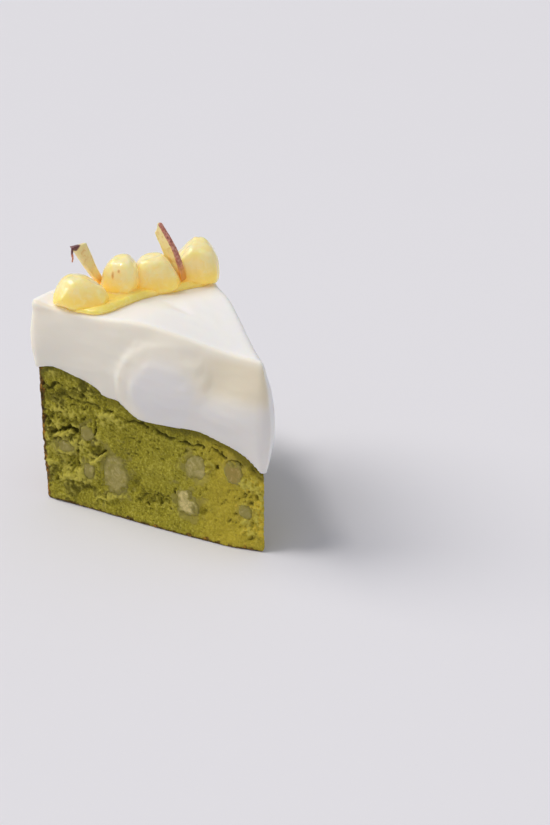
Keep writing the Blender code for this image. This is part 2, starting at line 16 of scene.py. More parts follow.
import bpy
import numpy as np
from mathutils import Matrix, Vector
from mathutils.bvhtree import BVHTree

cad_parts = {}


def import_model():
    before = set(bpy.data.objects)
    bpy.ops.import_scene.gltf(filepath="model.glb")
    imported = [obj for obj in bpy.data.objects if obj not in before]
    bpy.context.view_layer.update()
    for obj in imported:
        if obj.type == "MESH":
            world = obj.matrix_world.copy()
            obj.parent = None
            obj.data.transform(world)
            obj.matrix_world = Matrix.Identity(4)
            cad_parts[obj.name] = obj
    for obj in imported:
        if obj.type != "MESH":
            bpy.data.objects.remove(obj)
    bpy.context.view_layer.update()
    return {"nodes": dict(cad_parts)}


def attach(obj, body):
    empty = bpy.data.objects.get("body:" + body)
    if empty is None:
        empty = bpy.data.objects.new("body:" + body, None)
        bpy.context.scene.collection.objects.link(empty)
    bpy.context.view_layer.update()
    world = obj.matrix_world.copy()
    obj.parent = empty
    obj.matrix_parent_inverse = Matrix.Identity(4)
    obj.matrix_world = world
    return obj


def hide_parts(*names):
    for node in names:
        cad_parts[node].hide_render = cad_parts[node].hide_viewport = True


LOG = logging.getLogger("cheesecake")
MM = 0.001
CAKE_RADIUS = 90.0
FOOT_INSET = 0.4
FOOT_BAND = 0.1
HALF_ANGLE = math.radians(24.0)
COLOURS = {"data_type": "RGBA"}


def linear(code: str) -> tuple[float, float, float]:
    """Turn an sRGB hex colour into linear light.

    Args:
        code: Colour as six hex digits after a hash sign.

    Returns:
        Red, green and blue in linear light.
    """
    parts = [int(code[i:i + 2], 16) / 255 for i in (1, 3, 5)]
    return tuple(p / 12.92 if p <= 0.04045 else ((p + 0.055) / 1.055) ** 2.4 for p in parts)


def smooth(value: np.ndarray) -> np.ndarray:
    """Ease values from 0 to 1, held at both ends."""
    held = np.clip(value, 0.0, 1.0)
    return held * held * (3 - 2 * held)


def add_node(tree: bpy.types.NodeTree, kind: str, settings: dict, sockets: dict,
             output: str = "") -> bpy.types.NodeSocket:
    """Add a shader node with its settings and links.

    Args:
        tree: Node tree of the material or world.
        kind: Blender's name of the node type.
        settings: Properties of the node.
        sockets: Inputs by name or identifier, each a value or the output that feeds it.
        output: Name of the output that is wanted, or nothing for the first in use.

    Returns:
        The node's output.
    """
    node = tree.nodes.new(kind)
    for key, value in settings.items():
        setattr(node, key, value)
    for key, value in sockets.items():
        socket = next(s for s in node.inputs if s.enabled and key in (s.name, s.identifier))
        if isinstance(value, bpy.types.NodeSocket):
            tree.links.new(value, socket)
        elif isinstance(value, tuple) and len(value) == 3 and socket.type == "RGBA":
            socket.default_value = (*value, 1.0)
        else:
            socket.default_value = value
    return next(s for s in node.outputs if s.enabled and output in ("", s.name))


def start_material(name: str) -> tuple[bpy.types.Material, bpy.types.NodeTree, bpy.types.NodeSocket]:
    """Start a material on Blender's principled shader.

    Args:
        name: Name of the material.

    Returns:
        The material, its node tree and the coordinates of the frame in metres.
    """
    made = bpy.data.materials.new(name)
    made.use_nodes = True
    return made, made.node_tree, add_node(made.node_tree, "ShaderNodeTexCoord", {}, {}, "Object")


def lay_tones(tree: bpy.types.NodeTree, colour: bpy.types.NodeSocket | tuple,
              tones: dict) -> bpy.types.NodeSocket:
    """Lay tones over a colour, each as far as a mask of the skin says.

    Args:
        tree: Node tree of the material.
        colour: The colour below.
        tones: The tone for each mask, in the order in which they are laid.

    Returns:
        The new colour.
    """
    for mask, tone in tones.items():
        share = add_node(tree, "ShaderNodeAttribute", {"attribute_name": mask}, {}, "Fac")
        colour = add_node(tree, "ShaderNodeMix", COLOURS,
                          {"Factor_Float": share, "A_Color": colour, "B_Color": tone})
    return colour


def set_shader(tree: bpy.types.NodeTree, values: dict) -> None:
    """Set inputs of the principled shader, each to a value or to the output that feeds it.

    Args:
        tree: Node tree of the material.
        values: The inputs by name.
    """
    shader = tree.nodes["Principled BSDF"]
    for key, value in values.items():
        if isinstance(value, bpy.types.NodeSocket):
            tree.links.new(value, shader.inputs[key])
        else:
            shader.inputs[key].default_value = value


class Face(Enum):
    """The two cut faces of the wedge; the value is the side of X that each looks to."""

    FRONT = -1.0
    BACK = 1.0

    def along(self) -> np.ndarray:
        """Direction in the plan from the tip to the rim along this face."""
        return np.array((self.value * math.sin(HALF_ANGLE), math.cos(HALF_ANGLE), 0.0))

    def out(self) -> np.ndarray:
        """Direction in which this face looks."""
        return np.array((self.value * math.cos(HALF_ANGLE), -math.sin(HALF_ANGLE), 0.0))


class Seed(IntEnum):
    """Seeds of the random draws, one for each kind of surface; numbered pieces count on from theirs."""

    FRONT_CUT = 11
    BACK_CUT = 12
    RIM = 13
    TONES = 14
    FRUIT_BORDER = 15
    CREAM = 21
    COMPOTE_FRUIT = 30
    SYRUP = 41
    SLICE = 50
    BAKED_FRUIT = 60


class Grain:
    """Seeded gradient noise, about -1 to 1, for uneven surfaces."""

    CELLS = 32
    GAIN = 1.6
    LAYER_SHIFT = 17.3

    def __init__(self, seed: int) -> None:
        """Draw the lattice.

        Args:
            seed: Seed of the random draw.
        """
        draw = np.random.default_rng(seed)
        self.lattice = draw.normal(size=(self.CELLS, self.CELLS, self.CELLS, 3))
        self.lattice /= np.linalg.norm(self.lattice, axis=3, keepdims=True)

    def at(self, points: np.ndarray, wave: float) -> np.ndarray:
        """Noise at points.

        Args:
            points: Points in millimetres.
            wave: Size of one swell in millimetres.

        Returns:
            One value for each point.
        """
        place = points / wave
        base = np.floor(place).astype(int)
        part = place - base
        ease = part ** 3 * (part * (part * 6 - 15) + 10)
        total = np.zeros(len(points))
        for corner in product((0, 1), repeat=3):
            cell = (base + corner) % self.CELLS
            slope = self.lattice[cell[:, 0], cell[:, 1], cell[:, 2]]
            share = np.where(corner, ease, 1 - ease).prod(axis=1)
            total += share * ((part - corner) * slope).sum(axis=1)
        return total * self.GAIN

    def layered(self, points: np.ndarray, wave: float, layers: int) -> np.ndarray:
        """Noise summed over finer and finer swells.

        Args:
            points: Points in millimetres.
            wave: Size of the largest swell in millimetres.
            layers: Number of swells, each half the size of the one before.

        Returns:
            One value for each point.
        """
        return sum(self.at(points + self.LAYER_SHIFT * k, wave / 2 ** k) / 2 ** k
                   for k in range(layers))


@dataclass(frozen=True)
class WedgeFrame:
    """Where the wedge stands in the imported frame.

    Args:
        nodes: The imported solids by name.
        tip: The virtual tip in metres.
    """

    nodes: dict
    tip: np.ndarray

    @classmethod
    def measure(cls, nodes: dict) -> WedgeFrame:
        """Find the virtual tip from the foot of the baked solid.

        Args:
            nodes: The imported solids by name.

        Returns:
            The frame of the wedge.
        """
        mesh = nodes["cheesecake"].data
        points = np.array([v.co for v in mesh.vertices])
        foot = points[points[:, 2] < FOOT_BAND * MM]
        middle = (foot[:, 0].min() + foot[:, 0].max()) / 2
        return cls(nodes, np.array((middle, foot[:, 1].max() - (CAKE_RADIUS - FOOT_INSET) * MM, 0.0)))

    def to_wedge(self, points: np.ndarray) -> np.ndarray:
        """Turn points in metres of the frame into millimetres from the tip."""
        return (points - self.tip) / MM

    def to_frame(self, points: np.ndarray) -> np.ndarray:
        """Turn points in millimetres from the tip into metres of the frame."""
        return np.asarray(points) * MM + self.tip


class Skin:
    """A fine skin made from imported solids, with its points, normals and masks as arrays."""

    CUT_SHARE = 0.92

    def __init__(self, name: str, wedge: WedgeFrame, mesh: bpy.types.Mesh) -> None:
        """Read a mesh.

        Args:
            name: Name of the piece.
            wedge: Frame of the wedge.
            mesh: Mesh in metres of the frame.
        """
        self.name = name
        self.wedge = wedge
        self.mesh = mesh
        self.masks: dict[str, np.ndarray] = {}
        self.read()

    @staticmethod
    def grown(mesh: bpy.types.Mesh, amount: float, level_way: np.ndarray | None = None) -> bpy.types.Mesh:
        """Copy a solid's mesh and grow it.

        Args:
            mesh: Mesh of the solid in metres.
            amount: How far it grows, in millimetres.
            level_way: Direction in which it doesn't grow, if any.

        Returns:
            The new mesh.
        """
        bigger = mesh.copy()
        normals = np.array([v.normal[:] for v in bigger.vertices])
        if level_way is not None:
            normals = normals - np.outer(normals @ level_way, level_way)
        points = np.array([v.co[:] for v in bigger.vertices]) + amount * MM * normals
        bigger.vertices.foreach_set("co", points.ravel())
        return bigger

    @classmethod
    def from_solids(cls, name: str, wedge: WedgeFrame, meshes: list, voxel: float, rounds: int) -> Skin:
        """Make one even skin round solids that may cross each other.

        Args:
            name: Name of the piece.
            wedge: Frame of the wedge.
            meshes: Meshes of the solids in metres.
            voxel: Size of the skin's cells in millimetres.
            rounds: How often the skin is smoothed.

        Returns:
            The skin.
        """
        joined = bpy.data.meshes.new(name)
        points = []
        faces = []
        for mesh in meshes:
            start = len(points)
            points += [v.co[:] for v in mesh.vertices]
            faces += [tuple(start + i for i in p.vertices) for p in mesh.polygons]
        joined.from_pydata(points, [], faces)
        holder = bpy.data.objects.new(name, joined)
        bpy.context.scene.collection.objects.link(holder)
        remesh = holder.modifiers.new("skin", "REMESH")
        remesh.mode = "VOXEL"
        remesh.voxel_size = voxel * MM
        if rounds:
            ease = holder.modifiers.new("ease", "SMOOTH")
            ease.factor = 0.5
            ease.iterations = rounds
        graph = bpy.context.evaluated_depsgraph_get()
        fine = bpy.data.meshes.new_from_object(holder.evaluated_get(graph))
        bpy.data.objects.remove(holder)
        bpy.data.meshes.remove(joined)
        return cls(name, wedge, fine)

    def thin_out(self, hidden: np.ndarray, keep: float) -> None:
        """Take most of the triangles out of the places that nothing shows.

        Args:
            hidden: Share of hiding at each point.
            keep: Share of the triangles that stays there.
        """
        holder = bpy.data.objects.new(self.name, self.mesh)
        bpy.context.scene.collection.objects.link(holder)
        group = holder.vertex_groups.new(name="hidden")
        group.add(np.flatnonzero(hidden > 0.5).tolist(), 1.0, "REPLACE")
        thin = holder.modifiers.new("thin", "DECIMATE")
        thin.ratio = keep
        thin.vertex_group = group.name
        graph = bpy.context.evaluated_depsgraph_get()
        self.mesh = bpy.data.meshes.new_from_object(holder.evaluated_get(graph))
        bpy.data.objects.remove(holder)
        self.read()

    def read(self) -> None:
        """Read points and normals from the mesh."""
        count = len(self.mesh.vertices)
        flat = np.empty(count * 3)
        self.mesh.vertices.foreach_get("co", flat)
        self.points = self.wedge.to_wedge(flat.reshape(-1, 3))
        self.mesh.vertex_normals.foreach_get("vector", flat)
        self.normals = flat.reshape(-1, 3).copy()

    def write(self) -> None:
        """Write the points back to the mesh and read its new normals."""
        self.mesh.vertices.foreach_set("co", self.wedge.to_frame(self.points).ravel())
        self.mesh.update()
        self.read()

    def push(self, amount: np.ndarray) -> None:
        """Move the points along their normals by amounts in millimetres."""
        self.points = self.points + self.normals * np.asarray(amount).reshape(-1, 1)
        self.write()

    def flatten(self, compass: float, slope: float, keep: float, ease: float = 0.5) -> None:
        """Flatten the part of the skin that reaches furthest in a direction, as a knife does.

        Args:
            compass: Compass angle of the direction in degrees.
            slope: How far it points up, in degrees.
            keep: Share of that reach which is kept.
            ease: Softness of the new edge in millimetres.
        """
        turn, rise = math.radians(compass), math.radians(slope)
        level = math.cos(rise)
        way = np.array((math.cos(turn) * level, math.sin(turn) * level, math.sin(rise)))
        reach = (self.points - (self.points.max(axis=0) + self.points.min(axis=0)) / 2) @ way
        over = ease * np.logaddexp(0.0, (reach - reach.max() * keep) / ease)
        self.points = self.points - self.CUT_SHARE * over[:, None] * way
        self.write()

    def place(self, finish: bpy.types.Material, slot: str, nodes: list[str]) -> bpy.types.Object:
        """Put the piece into the scene in place of its solids.

        Args:
            finish: Material of the piece.
            slot: The record's material slot; not used.
            nodes: Names of the solids that it stands for.

        Returns:
            The piece.
        """
        for key, values in self.masks.items():
            layer = self.mesh.attributes.new(key, "FLOAT", "POINT")
            layer.data.foreach_set("value", np.asarray(values, dtype=np.float32))
        self.mesh.shade_smooth()
        self.mesh.materials.clear()
        self.mesh.materials.append(finish)
        piece = bpy.data.objects.new(self.name, self.mesh)
        bpy.context.scene.collection.objects.link(piece)
        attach(piece, "root")
        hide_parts(*nodes)
        LOG.info("%s: %d triangles", self.name, sum(len(p.vertices) - 2 for p in self.mesh.polygons))
        return piece


def run_distance(along: np.ndarray, height: np.ndarray, run: tuple) -> np.ndarray:
    """Distance from places on a face to a run of straight stretches.

    Args:
        along: Distance of each place from the tip.
        height: Height of each place.
        run: Corners of the run as (along, height).

    Returns:
        The distances in millimetres.
    """
    nearest = np.full(len(along), 1e6)
    for (a0, h0), (a1, h1) in zip(run, run[1:]):
        length = (a1 - a0) ** 2 + (h1 - h0) ** 2
        share = np.clip(((along - a0) * (a1 - a0) + (height - h0) * (h1 - h0)) / length, 0, 1)
        off = np.hypot(along - a0 - share * (a1 - a0), height - h0 - share * (h1 - h0))
        nearest = np.minimum(nearest, off)
    return nearest


@dataclass(frozen=True)
class Tear:
    """A crack torn in the crumb, with a raised lip below it.

    Args:
        run: Its corners as (along, height) on the face.
        width: Half its width.
        depth: Its depth.
        lip: Height of the lip.
    """

    run: tuple
    width: float
    depth: float
    lip: float = 0.0


@dataclass(frozen=True)
class Patch:
    """A patch of a cut face: a lump, a hollow or a stretch of loose crumb.

    Args:
        at: Its middle as (along, height) on the face.
        half: Its half sizes along and up the face.
        turn: Its turn in degrees, anticlockwise as seen with the rim on the left.
        strength: Height of a lump, depth of a hollow, or share of loose crumb.
    """

    at: tuple[float, float]
    half: tuple[float, float]
    turn: float
    strength: float

    REACH: ClassVar[float] = 1.35

    def share(self, along: np.ndarray, height: np.ndarray) -> np.ndarray:
        """Share of the patch at places on the face.

        Args:
            along: Distance of each place from the tip.
            height: Height of each place.

        Returns:
            1 in the middle of the patch, 0 outside it.
        """
        turn = math.radians(self.turn)
        across = (along - self.at[0]) * math.cos(turn) + (height - self.at[1]) * math.sin(turn)
        up = (height - self.at[1]) * math.cos(turn) - (along - self.at[0]) * math.sin(turn)
        return smooth(self.REACH - np.hypot(across / self.half[0], up / self.half[1]))


@dataclass(frozen=True)
class PoreField:
    """Pores of a stretch of a cut face, drawn at random.

    Args:
        low: Lower corner as (along, height).
        high: Upper corner as (along, height).
        count: Number of pores.
        radius: Smallest and largest radius.
        seed: Seed of the random draw.
    """

    low: tuple[float, float]
    high: tuple[float, float]
    count: int
    radius: tuple[float, float]
    seed: int

    STRETCH: ClassVar[tuple[float, float]] = (0.8, 2.2)
    DEEP: ClassVar[float] = 1.3
    REACH: ClassVar[float] = 1.4
    NEAR: ClassVar[float] = 3.0

    def depth(self, along: np.ndarray, height: np.ndarray) -> np.ndarray:
        """Depth of the pores at places on the face.

        Args:
            along: Distance of each place from the tip.
            height: Height of each place.

        Returns:
            The depths in millimetres.
        """
        draw = np.random.default_rng(self.seed)
        total = np.zeros(len(along))
        for _ in range(self.count):
            middle = draw.uniform(self.low, self.high)
            radius = self.radius[0] + (self.radius[1] - self.radius[0]) * draw.random() ** 2
            stretch = draw.uniform(*self.STRETCH)
            off = np.abs(along - middle[0]), np.abs(height - middle[1])
            near = (off[0] < self.NEAR * radius) & (off[1] < self.NEAR * radius)
            reach = np.hypot((along[near] - middle[0]) / stretch, height[near] - middle[1]) / radius
            total[near] = np.maximum(total[near], self.DEEP * radius * smooth(self.REACH - reach))
        return total


@dataclass(frozen=True)
class GreenCheesecake:
    """Baked green-tea cheesecake, cut cold with a wet knife.

    The knife drags the set curd, so the cut is matt and moist. Raised crumb is painted paler and pores,
    hollows and low crumb darker, partly the crumb's own tone and partly painted highlight and painted
    shade.
    The oven browns the rim and the foot.

    Args:
        name: Name of the material.
        green: Plain crumb.
        pale: Paler crumb laid on raised crumb, partly its own tone and partly painted highlight.
        deep: Darker green laid in pores, dots, hollows and low crumb, partly its own tone and partly
            painted shade.
        band: The denser band below the cream.
        tip: The yellower crumb near the tip.
        browned: Brown of the crust.
        burnt: Darkest brown of the crust.
        amber: Toasted sugar in the crust.
        fruit: Crumb thinned by the fruit behind it.
        rim: Baked side.
        rim_brown: Baked side where it browned more.
        patch_size: Size of the cloudy patches in millimetres.
        crumb_size: Size of a crumb, drawn a little coarse so that it shows.
        grit_size: Size of the finest grains that show.
        pinhole_gap: Distance between pinholes.
        speck_size: Size of the specks in the crust.
        browning_size: Size of the browned patches of the rim.
    """

    name: str = "green_cheesecake_crumb"
    green: str = "#9d9426"
    pale: str = "#d0c556"
    deep: str = "#4a4609"
    band: str = "#625c16"
    tip: str = "#e2c744"
    browned: str = "#6b4c1d"
    burnt: str = "#3c2c10"
    amber: str = "#ad7926"
    fruit: str = "#968d48"
    rim: str = "#8a7430"
    rim_brown: str = "#6f5124"
    patch_size: float = 9.0
    crumb_size: float = 1.1
    grit_size: float = 0.75
    pinhole_gap: float = 1.9
    speck_size: float = 1.4
    browning_size: float = 16.0

    def material(self) -> bpy.types.Material:
        """Build the material.

        Returns:
            The material.
        """
        made, tree, place = start_material(self.name)
        loose = add_node(tree, "ShaderNodeAttribute", {"attribute_name": "loose"}, {}, "Fac")
        patches = add_node(tree, "ShaderNodeTexNoise", {},
                           {"Vector": place, "Scale": 1 / (self.patch_size * MM), "Detail": 3.0})
        crumb = add_node(tree, "ShaderNodeTexNoise", {},
                         {"Vector": place, "Scale": 1 / (self.crumb_size * MM), "Detail": 5.0,
                          "Roughness": 0.7})
        grit = add_node(tree, "ShaderNodeTexNoise", {},
                        {"Vector": place, "Scale": 1 / (self.grit_size * MM), "Detail": 2.0})
        holes = add_node(tree, "ShaderNodeTexVoronoi", {},
                         {"Vector": place, "Scale": 1 / (self.pinhole_gap * MM)}, "Distance")
        holes = add_node(tree, "ShaderNodeMapRange", {},
                         {"Value": holes, "From Min": 0.17, "From Max": 0.08, "To Max": 0.75})
        # The crumb noise also shapes the bump, so the pale and dark tones below follow the relief: partly
        # the crumb's own tone, partly painted highlight on raised crumb and painted shade in low crumb.
        mottle = add_node(tree, "ShaderNodeMath", {"operation": "MULTIPLY_ADD"},
                          {"Value": patches, "Value_001": 0.45, "Value_002": 0.0})
        mottle = add_node(tree, "ShaderNodeMath", {"operation": "MULTIPLY_ADD"},
                          {"Value": crumb, "Value_001": 1.0, "Value_002": mottle})
        contrast = add_node(tree, "ShaderNodeMapRange", {}, {"Value": loose, "To Min": 0.6, "To Max": 1.0})
        pale = add_node(tree, "ShaderNodeMapRange", {},
                        {"Value": mottle, "From Min": 0.74, "From Max": 0.98, "To Max": contrast})
        colour = add_node(tree, "ShaderNodeMix", COLOURS,
                          {"Factor_Float": pale, "A_Color": linear(self.green),
                           "B_Color": linear(self.pale)})
        dark = add_node(tree, "ShaderNodeMapRange", {},
                        {"Value": mottle, "From Min": 0.71, "From Max": 0.48, "To Max": contrast})
        colour = add_node(tree, "ShaderNodeMix", COLOURS,
                          {"Factor_Float": dark, "A_Color": colour, "B_Color": linear(self.deep)})
        # Painted shade in the small dots that the bump sinks.
        colour = add_node(tree, "ShaderNodeMix", COLOURS,
                          {"Factor_Float": holes, "A_Color": colour, "B_Color": linear(self.deep)})
        # Fine grains that the bump also follows: the pale ones are partly painted highlight, the dark ones
        # partly painted shade.
        for low, high, most, tone in ((0.56, 0.7, 0.5, self.pale), (0.43, 0.3, 0.5, self.deep)):
            grains = add_node(tree, "ShaderNodeMapRange", {},
                              {"Value": grit, "From Min": low, "From Max": high, "To Max": most})
            colour = add_node(tree, "ShaderNodeMix", COLOURS,
                              {"Factor_Float": grains, "A_Color": colour, "B_Color": linear(tone)})
        specks = add_node(tree, "ShaderNodeTexNoise", {},
                          {"Vector": place, "Scale": 1 / (self.speck_size * MM), "Detail": 3.0})
        toast = add_node(tree, "ShaderNodeMapRange", {},
                         {"Value": specks, "From Min": 0.4, "From Max": 0.55})
        crust = add_node(tree, "ShaderNodeMix", COLOURS,
                         {"Factor_Float": toast, "A_Color": linear(self.burnt),
                          "B_Color": linear(self.browned)})
        glow = add_node(tree, "ShaderNodeMapRange", {},
                        {"Value": specks, "From Min": 0.56, "From Max": 0.64})
        crust = add_node(tree, "ShaderNodeMix", COLOURS,
                         {"Factor_Float": glow, "A_Color": crust, "B_Color": linear(self.amber)})
        heat = add_node(tree, "ShaderNodeTexNoise", {},
                        {"Vector": place, "Scale": 1 / (self.browning_size * MM), "Detail": 6.0,
                         "Roughness": 0.6})
        heat = add_node(tree, "ShaderNodeMapRange", {}, {"Value": heat, "From Min": 0.36, "From Max": 0.62})
        side = add_node(tree, "ShaderNodeMix", COLOURS,
                        {"Factor_Float": heat, "A_Color": linear(self.rim),
                         "B_Color": linear(self.rim_brown)})
        # Among these tones the deep green on low relief is painted shade and the pale on raised relief is
        # painted highlight.
        colour = lay_tones(tree, colour, {"fruit_tone": linear(self.fruit), "tip_tone": linear(self.tip),
                                          "band_tone": linear(self.band), "painted_shade_and_clouds": linear(self.deep),
                                          "painted_highlight": linear(self.pale), "rim": side, "baked": crust})
        rise = add_node(tree, "ShaderNodeMath", {"operation": "MULTIPLY_ADD"},
                        {"Value": grit, "Value_001": 0.35, "Value_002": crumb})
        rise = add_node(tree, "ShaderNodeMath", {"operation": "MULTIPLY_ADD"},
                        {"Value": holes, "Value_001": -0.35, "Value_002": rise})
        depth = add_node(tree, "ShaderNodeMapRange", {}, {"Value": loose, "To Min": 0.45, "To Max": 1.0})
        bump = add_node(tree, "ShaderNodeBump", {},
                        {"Height": rise, "Strength": depth, "Distance": 0.8 * MM})
        rough = add_node(tree, "ShaderNodeMapRange", {},
                         {"Value": crumb, "From Min": 0.3, "From Max": 0.7, "To Min": 0.5, "To Max": 0.8})
        set_shader(tree, {"Base Color": colour, "Normal": bump, "Roughness": rough, "IOR": 1.42,
                          "Specular IOR Level": 0.22, "Subsurface Weight": 0.2,
                          "Subsurface Radius": (1.0, 0.8, 0.2), "Subsurface Scale": 1.0 * MM})
        return made


@dataclass(frozen=True)
class WhippedCream:
    """Whipped cream cheese frosting, spread with a warm spatula.

    Fat and water scatter the light deep inside, so edges glow softly and the spatula's strokes show
    only as faint swells with a satin shine.

    Args:
        name: Name of the material.
        white: Plain cream.
        warm: Warm tint laid on the front as painted bounce light, with more in a fold near the tip as
            painted shade.
        cool: Cooler, slightly darker white laid on the thick smear and the lower front as painted shade.
        stroke: Width of a spatula stroke in millimetres.
        bubble: Size of the air bubbles, drawn coarse so that they show.
    """

    name: str = "whipped_cream"
    white: str = "#fbf9f6"
    warm: str = "#eadfc6"
    cool: str = "#eae9ec"
    stroke: float = 14.0
    bubble: float = 0.8

    def material(self) -> bpy.types.Material:
        """Build the material.

        Returns:
            The material.
        """
        made, tree, place = start_material(self.name)
        drift = add_node(tree, "ShaderNodeTexNoise", {},
                         {"Vector": place, "Scale": 1 / (self.stroke * MM), "Detail": 2.0})
        colour = lay_tones(tree, linear(self.white), {"painted_warm_bounce_and_shade": linear(self.warm),
                                                      "painted_cool_shade": linear(self.cool)})
        bubbles = add_node(tree, "ShaderNodeTexNoise", {},
                           {"Vector": place, "Scale": 1 / (self.bubble * MM), "Detail": 3.0})
        bump = add_node(tree, "ShaderNodeBump", {},
                        {"Height": bubbles, "Strength": 0.12, "Distance": 0.12 * MM})
        rough = add_node(tree, "ShaderNodeMapRange", {},
                         {"Value": drift, "From Min": 0.3, "From Max": 0.7, "To Min": 0.38, "To Max": 0.52})
        set_shader(tree, {"Base Color": colour, "Normal": bump, "Roughness": rough, "IOR": 1.45,
                          "Specular IOR Level": 0.35, "Subsurface Weight": 0.6,
                          "Subsurface Radius": (1.0, 0.85, 0.65), "Subsurface Scale": 3.5 * MM})
        return made


@dataclass(frozen=True)
class CookedFruit:
    """Fruit simmered in sugar syrup until it turns glassy.

    Light passes a few millimetres into the flesh, so it glows pale yellow, deeper at the foot where
    syrup soaks in, with whitish fibres, and the syrup film gives small sharp highlights. A faint emission,
    stronger where the flesh is soaked, is a painted glow that stands in for the light the clear flesh
    passes on from the cream below.

    Args:
        name: Name of the material.
        flesh: Plain cooked flesh.
        pale: Whitish fibres.
        soaked: Flesh full of syrup.
        spot: Dark eyes.
        fibre: Width of the fibres in millimetres.
        ripple: Size of the ripples of the syrup film.
        film_roughness: Roughness of that film.
        glow: Strength of the painted glow, an emission, on the dry and on the soaked flesh.
    """

    name: str = "cooked_fruit"
    flesh: str = "#fde398"
    pale: str = "#fff3d0"
    soaked: str = "#fbd65c"
    spot: str = "#c98a12"
    fibre: float = 2.4
    ripple: float = 1.3
    film_roughness: float = 0.08
    glow: tuple[float, float] = (0.11, 0.21)

    def material(self) -> bpy.types.Material:
        """Build the material.

        Returns:
            The material.
        """
        made, tree, place = start_material(self.name)
        fibres = add_node(tree, "ShaderNodeTexNoise", {},
                          {"Vector": place, "Scale": 1 / (self.fibre * MM), "Detail": 4.0, "Roughness": 0.6,
                           "Distortion": 0.8})
        ripples = add_node(tree, "ShaderNodeTexNoise", {},
                           {"Vector": place, "Scale": 1 / (self.ripple * MM), "Detail": 2.0})
        share = add_node(tree, "ShaderNodeMapRange", {},
                         {"Value": fibres, "From Min": 0.48, "From Max": 0.7, "To Max": 0.45})
        flesh = lay_tones(tree, linear(self.flesh), {"soaked": linear(self.soaked)})
        colour = add_node(tree, "ShaderNodeMix", COLOURS,
                          {"Factor_Float": share, "A_Color": flesh, "B_Color": linear(self.pale)})
        half = add_node(tree, "ShaderNodeMix", COLOURS,
                        {"Factor_Float": 0.55, "A_Color": colour, "B_Color": flesh})
        colour = lay_tones(tree, colour, {"soaked": half, "milky": linear(self.pale),
                                          "spot": linear(self.spot)})
        # Painted glow: an emission in the flesh colour, stronger where the flesh is soaked; the syrup gets
        # it too.
        depth = add_node(tree, "ShaderNodeAttribute", {"attribute_name": "soaked"}, {}, "Fac")
        glow = add_node(tree, "ShaderNodeMapRange", {},
                        {"Value": depth, "To Min": self.glow[0], "To Max": self.glow[1]})
        bump = add_node(tree, "ShaderNodeBump", {},
                        {"Height": fibres, "Strength": 0.4, "Distance": 0.4 * MM})
        film = add_node(tree, "ShaderNodeBump", {},
                        {"Height": ripples, "Strength": 0.5, "Distance": 0.12 * MM})
        set_shader(tree, {"Base Color": colour, "Normal": bump, "Coat Normal": film, "IOR": 1.4,
                          "Roughness": 0.35, "Subsurface Weight": 1.0,
                          "Subsurface Radius": (1.0, 0.75, 0.3), "Subsurface Scale": 7.0 * MM,
                          "Emission Color": flesh, "Emission Strength": glow,
                          "Coat Weight": 1.0, "Coat Roughness": self.film_roughness, "Coat IOR": 1.5})
        return made


@dataclass(frozen=True)
class SliceFlesh:
    """Thin slice of fruit with its peel on, steeped in syrup and half dried.

    The flesh is a clear straw yellow, darker along its veins. The peel is a red skin that shrinks and
    curls, browner where the syrup reaches it and purple where it has dried.

    Args:
        name: Name of the material.
        flesh: Plain flesh.
        vein: Veins of the flesh.
        peel: Plain peel.
        peel_light: Worn peel.
        peel_dark: Dark spots of the peel.
        dried: Dried peel.
        soaked: Flesh or peel full of syrup.
        vein_size: Width of the veins in millimetres.
        peel_size: Size of the worn spots.
    """

    name: str = "dried_slice"
    flesh: str = "#fdeaac"
    vein: str = "#e9c26c"
    peel: str = "#c47f6d"
    peel_light: str = "#e2b09d"
    peel_dark: str = "#7d4448"
    dried: str = "#5f2f3a"
    soaked: str = "#fbb54a"
    vein_size: float = 2.0
    peel_size: float = 0.9

    def material(self) -> bpy.types.Material:
        """Build the material.

        Returns:
            The material.
        """
        made, tree, place = start_material(self.name)
        veins = add_node(tree, "ShaderNodeTexNoise", {},
                         {"Vector": place, "Scale": 1 / (self.vein_size * MM), "Detail": 4.0,
                          "Distortion": 1.0})
        share = add_node(tree, "ShaderNodeMapRange", {},
                         {"Value": veins, "From Min": 0.5, "From Max": 0.72, "To Max": 0.65})
        flesh = add_node(tree, "ShaderNodeMix", COLOURS,
                         {"Factor_Float": share, "A_Color": linear(self.flesh),
                          "B_Color": linear(self.vein)})
        wear = add_node(tree, "ShaderNodeTexNoise", {},
                        {"Vector": place, "Scale": 1 / (self.peel_size * MM), "Detail": 3.0})
        light = add_node(tree, "ShaderNodeMapRange", {}, {"Value": wear, "From Min": 0.45, "From Max": 0.7})
        peel = add_node(tree, "ShaderNodeMix", COLOURS,
                        {"Factor_Float": light, "A_Color": linear(self.peel),
                         "B_Color": linear(self.peel_light)})
        dark = add_node(tree, "ShaderNodeMapRange", {},
                        {"Value": wear, "From Min": 0.42, "From Max": 0.3, "To Max": 0.8})
        peel = add_node(tree, "ShaderNodeMix", COLOURS,
                        {"Factor_Float": dark, "A_Color": peel, "B_Color": linear(self.peel_dark)})
        peel = lay_tones(tree, peel, {"dried": linear(self.dried), "wet_peel": linear(self.soaked)})
        colour = lay_tones(tree, flesh, {"soaked": linear(self.soaked), "peel": peel})
        bump = add_node(tree, "ShaderNodeBump", {},
                        {"Height": veins, "Strength": 0.4, "Distance": 0.25 * MM})
        set_shader(tree, {"Base Color": colour, "Normal": bump, "IOR": 1.42, "Roughness": 0.38,
                          "Subsurface Weight": 0.5, "Subsurface Radius": (1.0, 0.7, 0.35),
                          "Subsurface Scale": 2.0 * MM, "Coat Weight": 0.35, "Coat Roughness": 0.2})
        return made


